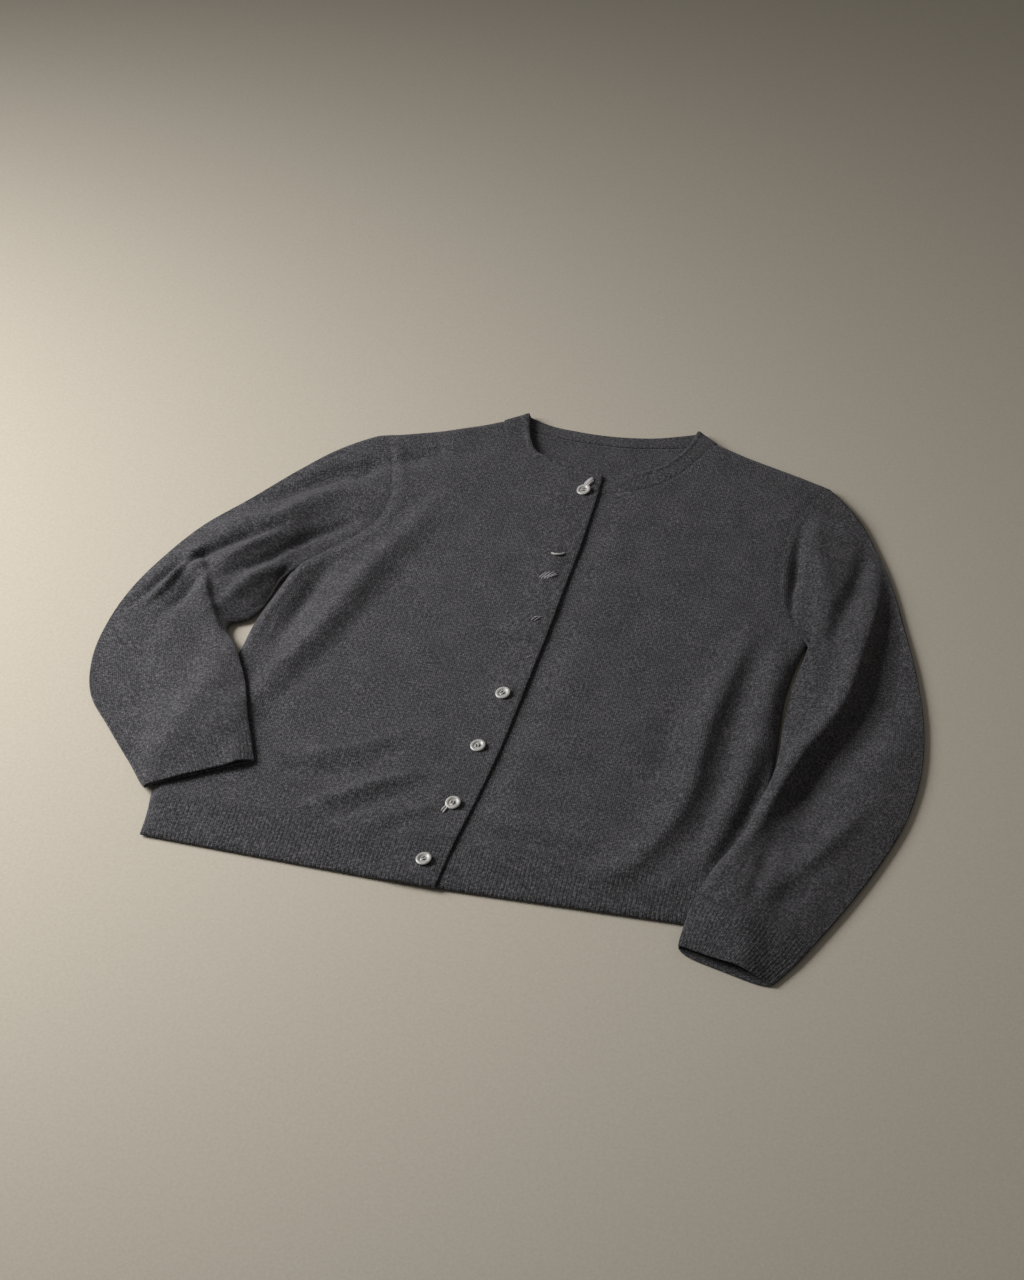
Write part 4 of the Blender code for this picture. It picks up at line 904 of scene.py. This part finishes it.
def at_mouth(mouth, place, upper, to_mouth, way):
    """The share of its height that a cuff keeps near its mouth, and how far its lower lip lies
    out. Both fade up the cuff: 1 - felt · (1 - rest) · (1 - a bell about the open place)."""
    felt = eased(1 - to_mouth / MOUTH_REACH)[:, None]
    share = 1 - felt * (1 - mouth.rest) * (1 - bell(place - mouth.place, mouth.width))
    out = eased(1 - to_mouth / LIP_REACH)[:, None] * (1 - place**6) * (1 - upper)
    return share, mouth.lip * out[..., None] * way / np.linalg.norm(way)


# %% The tube
def tube(hand, sections, top, to_mouth=None):
    """The middle surface of a sleeve, or of a cuff whose rings lie this far from its mouth, and
    its stitch places. Each section is a ring."""
    place, height, upper = ring_shape(top)
    outer, inner = sections[:, None, 0:2], sections[:, None, 2:4]
    bend, tall, climb = (sections[:, k, None] for k in (4, 5, 6))
    middles = (sections[:, :2] + sections[:, 2:4]) / 2
    from_top = lengths(middles)[:, None]
    own = np.ones(from_top.shape) if to_mouth is not None else eased(from_top / MERGE)
    at_seam = np.concatenate([np.linspace(0, 1, len(top)), np.linspace(1, 0, len(LOWER) + 2)[1:-1]])
    share = at_seam + ((1 - place)[None] / 2 - at_seam) * own
    bow = armhole_bow(hand, outer[0], inner[0], share)
    plan = outer + (inner - outer) * share[..., None] + bow * bend[..., None]
    if to_mouth is not None:
        kept, lip = at_mouth(MOUTHS[hand], place, upper, to_mouth, middles[-1] - middles[-2])
        tall, plan = tall * kept, plan + lip
    x, y = plan[..., 0], plan[..., 1]
    lower, higher = (BACK_LEVEL + body_top(x, y, reach, hand) * climb for reach in (RAMP, DRAPE))
    level = np.where(upper > 0, higher, lower) + tall * height
    folds = folded(TABLES[hand][2], x, y) + uneven(x + 3, y - 5, 0.03, 4.5)
    inside = (1 - place**8) * upper
    if to_mouth is None:
        folds = folds * eased(from_top / SEAM_EASE)
        merged = level + (front_level(x[0], y[0], hand) - level) * (1 - own)
        level = np.where(upper > 0, merged, level)
        level -= SEAM_DEEP * bell(nearest(ARMHOLES[hand], x, y)[0], SEAM_WIDTH) * inside
    level += folds * inside
    width = np.linalg.norm(sections[:, 2:4] - sections[:, 0:2], axis=1)[:, None]
    across = np.concatenate([-place[upper > 0] / 2, 1 + place[upper == 0] / 2, [1.5]]) * width
    return raise_up(plan, level), np.stack([across, -from_top + 0 * across], axis=-1)


# %% The two sleeves
def sleeve(hand):
    """A sleeve, from its armhole to its cuff."""
    top = np.cos(np.linspace(0, math.pi, SLEEVE_TOP))
    middle, stitches = tube(hand, drawn(TABLES[hand][0], SLEEVE_RINGS), top)
    body = wall(middle, KNIT, stitches, square=(START, END), ring=True, turned=hand == "right")
    sewn("sleeve_tube_" + hand, body, WOOL, "sleeve_" + hand)


for hand in HANDS:
    sleeve(hand)


# %% The two cuffs
def cuff(hand):
    """A cuff, with ribs on its upper layer and a round mouth."""
    whole = drawn(TABLES[hand][1])
    deep = lengths(whole[:, :2])[-1]
    far = np.concatenate([np.linspace(SEAM_GAP, deep - SOFT_EDGE, CUFF_RINGS),
                          deep - edge_steps(SOFT_EDGE, RIB_RIM_STEPS)[-2::-1]])
    sections = pick(whole, far / deep * lengths(whole)[-1])
    ribs = round(float(np.linalg.norm(sections[0, :2] - sections[0, 2:4])) / RIB_PITCH)
    top = np.cos(np.linspace(0, math.pi, FRONT_POINTS * ribs + 1))
    middle, stitches = tube(hand, sections, top, deep - far)
    across = stitches[:, :-1, 0] / np.abs(stitches[:, :1, 0]) * ribs * RIB_PITCH / 2
    rim = rolled(deep - far, SOFT_EDGE)[:, None]
    relief, thickness = ribbed(across, stitches[:, :-1, 1], far[:, None], rim)
    on_top = np.concatenate([np.ones(len(top)), np.zeros(len(LOWER))])
    body = wall(middle, thickness, stitches, square=(START,), raised=relief * on_top, ring=True,
                turned=hand == "right")
    sewn("cuff_ribbing_" + hand, body, RIBBING, "cuff_" + hand)


for hand in HANDS:
    cuff(hand)

# %% [markdown]
# ## The neckband
#
# A 2 cm band is linked to the neck all round. It goes up the right front, folds over at the
# shoulder, runs round the back where its inside shows, and folds over again to the left front.

# %% The neckband
BAND_WIDE = 2.0  # from the band's seam to its free edge
BAND_ROWS = 14  # points from one to the other
BAND_GROOVE, BAND_RIDGE = 0.05, 0.09  # how deep it dips at its seam, how high it rolls 1.75 up


def neckband():
    """The neckband: three runs of rows, from the seam to the free edge."""
    runs = [("right", beside(NECKS["right"], -SEAM_GAP), drawn(FREE_RIGHT), 110),
            ("back", beside(NECKS["back"], SEAM_GAP), drawn(FREE_BACK), 130),
            ("left", beside(NECKS["left"], SEAM_GAP), drawn(FREE_LEFT), 130)]
    share = np.concatenate([np.linspace(0, 1 - SOFT_EDGE / BAND_WIDE, BAND_ROWS),
                            1 - edge_steps(SOFT_EDGE, RIM_STEPS)[-2::-1] / BAND_WIDE])
    up = share * BAND_WIDE
    grids, knit, start = [], [], 0.0
    for run, seam, free, count in runs:
        places = np.linspace(0, 1, count)
        if run == "back":
            places = places[1:-1]
        if run == "left":
            places = places[::-1]
        far = places * lengths(seam)[-1]
        starts, ends = pick(seam, far), pick(free, places * lengths(free)[-1])
        plan = starts[:, None] + (ends - starts)[:, None] * share[:, None]
        to_fold = lengths(seam)[-1] - far
        if run == "back":
            from_fold = rolled(np.minimum(far, to_fold), ROLL / 2)[:, None]
            level = NECK_FOLD_LEVEL + (BAND / 2 - NECK_FOLD_LEVEL) * from_fold
            level = level - BAND_GROOVE * bell(up, 0.15) * from_fold
        else:
            from_fold = rolled(to_fold, ROLL)[:, None]
            flat = flat_level(plan[..., 0], plan[..., 1], run)
            level = NECK_FOLD_LEVEL + (flat - NECK_FOLD_LEVEL) * from_fold
            level = level - BAND_GROOVE * bell(up, 0.13) * from_fold
            level = level + BAND_RIDGE * bell(up - 1.75, 0.2) * from_fold
            level = level + folded(BAND_FOLDS, plan[..., 0], plan[..., 1])
        grids.append(raise_up(plan, level))
        along = start + np.abs(far - far[0])
        start = along[-1]
        knit.append(np.stack([along[:, None] + 0 * up, up + 0 * along[:, None]], axis=-1))
    middle, stitches = np.concatenate(grids), np.concatenate(knit)
    from_end = lengths(middle[:, 0])[:, None]
    rim = rolled((1 - share) * BAND_WIDE, SOFT_EDGE) * rolled(from_end, SOFT_EDGE)
    body = wall(middle, BAND * at_rim(rim), stitches, square=(FIRST,), turned=True)
    sewn("neck_binding", body, WOOL, "neckband")


neckband()

# %% [markdown]
# ## Buttons
#
# A knitwear button is turned from a disc of shell on a lathe: a wide round rim, a dish inside
# it and a low pad in the middle, drilled with four holes. So it is a profile carried round, and
# the holes are round wells sunk into that surface. Two strands of yarn cross the pad. Three of
# the eight have slipped back through their buttonholes and lie under the right front, and one of
# those still shows its rim.

# %% A turned button
Button = namedtuple("Button", "x y on tilt_x tilt_y turn")
BUTTONS = [
    Button(-0.90, 1.9, "ribbing", 4, -9, 25),
    Button(0.00, 7.95, "knit", 9, -8, 70),
    Button(0.55, 14.4, "knit", 5, -8, 100),
    Button(1.25, 20.55, "knit", 6, -10, 40),
    Button(1.70, 27.3, "left front", 0, 0, 0),
    Button(1.95, 33.2, "left front", 0, 0, 0),
    Button(2.25, 38.2, "buttonhole", -26, -5, 0),
    Button(2.85, 46.65, "knit", 7, -12, 0),
]
CLOTH_OVER = {"ribbing": RIB / 2 + RIB_RISE, "knit": KNIT / 2}
BUTTON_PROFILE = [(0.0, 0.095), (0.22, 0.090), (0.28, 0.072), (0.34, 0.110), (0.43, 0.158),
                  (0.55, 0.152), (0.615, 0.105), (0.60, 0.05), (0.54, 0.012), (0.42, 0.0),
                  (0.0, 0.0)]
BUTTON_RINGS, BUTTON_SPOKES = 72, 72
BUTTON_SHARP = 50  # degrees past which an edge is shaded sharp
HOLE, HOLE_PLACE, HOLE_DEEP = 0.068, 0.118, 0.070  # radius, place from the middle, depth
HOLE_SOFT = 0.02  # how far in the hole's rim rounds off
STRAND, STRAND_FROM, STRAND_LIFT = 0.035, 0.07, 0.08  # radius, height in a hole, rise of the arch
PRESSED = 0.04  # how far a button presses into the soft cloth
SUNK = 0.10  # how far the one that is stuck in its buttonhole has sunk through it
ON_LEFT = 0.005  # air under those that lie on the left front


def round_quads(ring):
    """Quads between rings of point numbers, all the way round."""
    after = np.roll(ring, -1, axis=1)
    return np.stack([ring[:-1], ring[1:], after[1:], after[:-1]], axis=-1).reshape(-1, 4).tolist()


def button_body():
    """Points and faces of a turned button: the profile carried round, less four round wells."""
    radius, height = drawn(BUTTON_PROFILE, BUTTON_RINGS).T
    turn = np.arange(BUTTON_SPOKES) * 2 * math.pi / BUTTON_SPOKES
    x, y = radius[1:-1, None] * np.cos(turn), radius[1:-1, None] * np.sin(turn)
    z = height[1:-1, None] + 0 * x
    on_face = (np.arange(1, BUTTON_RINGS - 1) < BUTTON_RINGS / 2)[:, None]
    for hole_x in (-HOLE_PLACE, HOLE_PLACE):
        for hole_y in (-HOLE_PLACE, HOLE_PLACE):
            inside = HOLE - np.hypot(x - hole_x, y - hole_y)
            z = z - HOLE_DEEP * eased(inside / HOLE_SOFT) * on_face
    points = np.concatenate([[(0, 0, height[0])], np.stack([x, y, z], axis=-1).reshape(-1, 3),
                             [(0, 0, height[-1])]])
    ring = 1 + np.arange((BUTTON_RINGS - 2) * BUTTON_SPOKES).reshape(-1, BUTTON_SPOKES)
    first, last = ring[0], ring[-1]
    middle = np.stack([0 * first, first, np.roll(first, -1)], axis=-1)
    behind = np.stack([0 * last + len(points) - 1, np.roll(last, -1), last], axis=-1)
    return points, round_quads(ring) + middle.tolist() + behind.tolist()


# %% Strands of yarn
def strand(start, end, lift, radius, samples=14, spokes=10):
    """A strand from point to point, lifted in an arch: a circle carried along it, thin at its
    ends. Height: start to end plus lift · sin πt."""
    t = np.linspace(0, 1, samples)[:, None]
    line = start + (end - start) * t + np.array([0, 0, 1]) * lift * np.sin(math.pi * t)
    way = np.gradient(line, axis=0)
    way /= np.linalg.norm(way, axis=1, keepdims=True)
    beside_it = np.cross(way, (0, 0, 1))
    beside_it /= np.linalg.norm(beside_it, axis=1, keepdims=True)
    over_it = np.cross(beside_it, way)
    turn = np.arange(spokes) * 2 * math.pi / spokes
    thick = radius * np.sqrt(np.clip(1 - (2 * t - 1) ** 8, 0.02, 1))[..., None]
    points = line[:, None] + thick * (np.cos(turn)[:, None] * beside_it[:, None]
                                      + np.sin(turn)[:, None] * over_it[:, None])
    ring = np.arange(samples * spokes).reshape(samples, spokes)
    caps = [ring[0].tolist(), ring[-1, ::-1].tolist()]
    return points.reshape(-1, 3), round_quads(ring) + caps


def gathered(parts):
    """Several bodies as one: their points, their faces renumbered, and each face's material."""
    points, faces, kinds, start = [], [], [], 0
    for kind, (body, sides) in parts:
        points.append(body)
        faces += [[start + k for k in side] for side in sides]
        kinds += [kind] * len(sides)
        start += len(body)
    return np.concatenate(points), faces, kinds


# %% Shell and yarn
def pearl_shell():
    """Pale grey pearl shell: a hard polished surface with a faint lustre in clouds of 4 mm."""
    material, tree, shader = new_material("grey_pearl_shell", Roughness=0.38, Coat_Weight=0.25,
                                          Coat_Roughness=0.2)
    where = add(tree, "ShaderNodeTexCoord").outputs["Object"]
    cloud = add(tree, "ShaderNodeTexNoise", Vector=where, Scale=260.0, Detail=3.0, Roughness=0.55,
                Distortion=0.6)
    shell = add(tree, "ShaderNodeValToRGB", Fac=cloud,
                stops=((0.3, "#908f8e"), (0.5, "#a4a3a2"), (0.7, "#b6b5b4")))
    tree.links.new(shell.outputs["Color"], shader.inputs["Base Color"])
    return material


def yarn(name, dark, pale):
    """Twisted yarn of one shade, with its fibres as noise of half a millimetre."""
    material, tree, shader = new_material(name, Roughness=0.8, Sheen_Weight=0.2)
    where = add(tree, "ShaderNodeTexCoord").outputs["Object"]
    fibres = add(tree, "ShaderNodeTexNoise", Vector=where, Scale=1800.0, Detail=2.0, Roughness=0.6)
    shade = add(tree, "ShaderNodeValToRGB", Fac=fibres, stops=((0.35, dark), (0.65, pale)))
    tree.links.new(shade.outputs["Color"], shader.inputs["Base Color"])
    return material


SHELL = pearl_shell()
SEWING_YARN = yarn("charcoal_sewing_yarn", "#3a393c", "#66656a")
SILVER_YARN = yarn("silver_buttonhole_yarn", "#a09fa3", "#d6d4d4")
WORN_YARN = yarn("grey_buttonhole_yarn", "#77767b", "#a3a2a7")


# %% The eight buttons
def tilt_matrix(at):
    """A turn about the button's own axis, then about x, then about y."""
    around, about_x, about_y = (math.radians(v) for v in (at.turn, at.tilt_x, at.tilt_y))
    c, s = math.cos(around), math.sin(around)
    spin = np.array([[c, -s, 0], [s, c, 0], [0, 0, 1]])
    c, s = math.cos(about_x), math.sin(about_x)
    over = np.array([[1, 0, 0], [0, c, -s], [0, s, c]])
    c, s = math.cos(about_y), math.sin(about_y)
    return np.array([[c, 0, s], [0, 1, 0], [-s, 0, c]]) @ over @ spin


def seat(at, points):
    """The height at which a button's lowest points press a little into the cloth under it."""
    x, y = at.x + points[:, 0], at.y + points[:, 1]
    if at.on == "left front":
        return LAP_LEVEL + KNIT / 2 + ON_LEFT
    if at.on == "buttonhole":
        return float(flat_level(np.array([at.x]), np.array([at.y]), "right")[0]) - SUNK
    return float((front_level(x, y, "right") + CLOTH_OVER[at.on] - points[:, 2]).max()) - PRESSED


def button(number, at):
    """A button with its yarn, turned, tilted and laid on the cloth."""
    parts = [(0, button_body())]
    for side in (-HOLE_PLACE, HOLE_PLACE):
        start, end = (np.array([x, side, STRAND_FROM]) for x in (-HOLE_PLACE, HOLE_PLACE))
        parts.append((1, strand(start, end, STRAND_LIFT, STRAND)))
    points, faces, kinds = gathered(parts)
    points = points @ tilt_matrix(at).T
    points += (at.x, at.y, seat(at, points))
    piece = mesh_object(f"pearl_button_{number}", points, faces, (SHELL, SEWING_YARN), kinds,
                        BUTTON_SHARP)
    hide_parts(f"button_{number}")
    return len(faces)


print("faces of each button:", [button(k, at) for k, at in enumerate(BUTTONS, start=1)])

# %% [markdown]
# The buttonholes are worked in a paler yarn. A few of its strands stand out of the cloth: above
# the top button, where the buttons have slipped back, and beside the second one. Each is an arched
# strand between two points on the cloth, silver (0) or worn grey (1).

# %% Stitching at the buttonholes
Stitch = namedtuple("Stitch", "x0 y0 x1 y1 lift radius shade")
STITCHES = [
    Stitch(2.76, 47.46, 3.32, 48.55, 0.09, 0.110, 0),
    Stitch(2.90, 47.32, 3.40, 48.38, 0.12, 0.115, 0),
    Stitch(3.04, 47.26, 3.46, 48.16, 0.09, 0.100, 0),
    Stitch(-0.56, 6.85, -0.28, 7.62, 0.06, 0.070, 0),
    Stitch(-0.72, 7.10, -0.42, 7.72, 0.05, 0.060, 0),
    Stitch(1.34, 34.70, 1.85, 35.45, 0.05, 0.075, 1),
    Stitch(1.52, 34.60, 2.15, 35.60, 0.06, 0.080, 1),
    Stitch(1.74, 34.58, 2.46, 35.68, 0.06, 0.085, 1),
    Stitch(1.98, 34.66, 2.68, 35.58, 0.05, 0.080, 1),
    Stitch(2.25, 34.90, 2.80, 35.42, 0.04, 0.065, 1),
    Stitch(1.60, 34.80, 2.70, 35.20, 0.10, 0.060, 1),
    Stitch(1.72, 29.40, 2.12, 30.00, 0.04, 0.050, 1),
    Stitch(2.00, 29.45, 2.40, 29.95, 0.04, 0.050, 1),
    Stitch(1.90, 29.90, 2.60, 30.05, 0.05, 0.045, 1),
    Stitch(2.25, 25.00, 2.65, 25.40, 0.04, 0.045, 1),
]
ON_BAND = 47.5  # a strand that reaches past this y lies on the neckband


def stitching():
    """The strands, with both ends sunk into the cloth by half their thickness."""
    parts = []
    for stitch in STITCHES:
        x, y = np.array([stitch.x0, stitch.x1]), np.array([stitch.y0, stitch.y1])
        over = BAND / 2 if y.max() > ON_BAND else KNIT / 2
        start, end = np.stack([x, y, flat_level(x, y, "right") + over], axis=1)
        parts.append((stitch.shade, strand(start, end, stitch.lift, stitch.radius)))
    points, faces, kinds = gathered(parts)
    mesh_object("buttonhole_stitching", points, faces, (SILVER_YARN, WORN_YARN), kinds)


stitching()
print("strands at the buttonholes:", len(STITCHES))

# %% [markdown]
# ## Floor, light and camera
#
# The garment lies on a plain pale surface. One broad soft light comes in low from the left, so
# the light falls off to the right and every fold has a bright and a dark side; a pale sky fills
# the shadows.

# %% The floor
FLOOR_REACH, FLOOR_LEVEL = 6.0, -0.0004  # metres


def pale_floor():
    """A plain matt board, large enough to fill the view, with a faint grain of 2.4 mm."""
    material, tree, shader = new_material("pale_matt_board", Roughness=0.85)
    where = add(tree, "ShaderNodeTexCoord").outputs["Object"]
    grain = add(tree, "ShaderNodeTexNoise", Vector=where, Scale=420.0, Detail=4.0, Roughness=0.6)
    shade = add(tree, "ShaderNodeValToRGB", Fac=grain, stops=((0.25, "#b3aca0"), (0.75, "#bdb7ab")))
    tree.links.new(shade.outputs["Color"], shader.inputs["Base Color"])
    bump = add(tree, "ShaderNodeBump", Strength=0.15, Distance=0.0004, Height=grain)
    tree.links.new(bump.outputs["Normal"], shader.inputs["Normal"])
    mesh = bpy.data.meshes.new("floor")
    corners = [(-1, -1), (1, -1), (1, 1), (-1, 1)]
    mesh.from_pydata([(FLOOR_REACH * x, FLOOR_REACH * y, FLOOR_LEVEL) for x, y in corners], [],
                     [(0, 1, 2, 3)])
    mesh.materials.append(material)
    placed("floor", mesh)


pale_floor()


# %% Light and camera
def aimed(thing, place, target):
    """Put a light or camera at a place, its -Z towards its target and its Y up."""
    thing.location = place
    thing.rotation_euler = (Vector(target) - Vector(place)).to_track_quat("-Z", "Y").to_euler()


def area_light(name, place, target, size, watts, spread, colour):
    """A square soft light at a place, turned to its target, that fades out towards its spread."""
    lamp = bpy.data.lights.new(name, "AREA")
    lamp.shape, lamp.size, lamp.energy, lamp.spread = "SQUARE", size, watts, spread
    lamp.color = linear(colour)[:3]
    aimed(placed(name, lamp), place, target)


area_light("window", place=(-1.6, 0.09, 0.92), target=(-0.55, -0.11, 0.0), size=1.0, watts=13.1,
           spread=1.43, colour="#fffdfa")
world = bpy.data.worlds.new("studio")
world.use_nodes = True
sky = world.node_tree.nodes["Background"].inputs
sky["Color"].default_value, sky["Strength"].default_value = linear("#f6efe4"), 0.162
bpy.context.scene.world = world
bpy.context.scene.view_settings.view_transform = "Standard"

camera = placed("camera", bpy.data.cameras.new("camera"))
camera.data.lens, camera.data.sensor_width = 80.36, 36.0  # millimetres
aimed(camera, place=(0.3553, -1.6677, 1.5958), target=(0.0048, 0.0073, 0.0))
bpy.context.scene.camera = camera
print(f"a {camera.data.lens:.0f} mm lens, {camera.location.length:.2f} m away")

# %% [markdown]
# ## Sheets
#
# A cut of cloth is given by its piece, its flat size, its area and what it rests on.

# %% Sheets and sizes
Cut = namedtuple("Cut", "piece flat area rests_on")
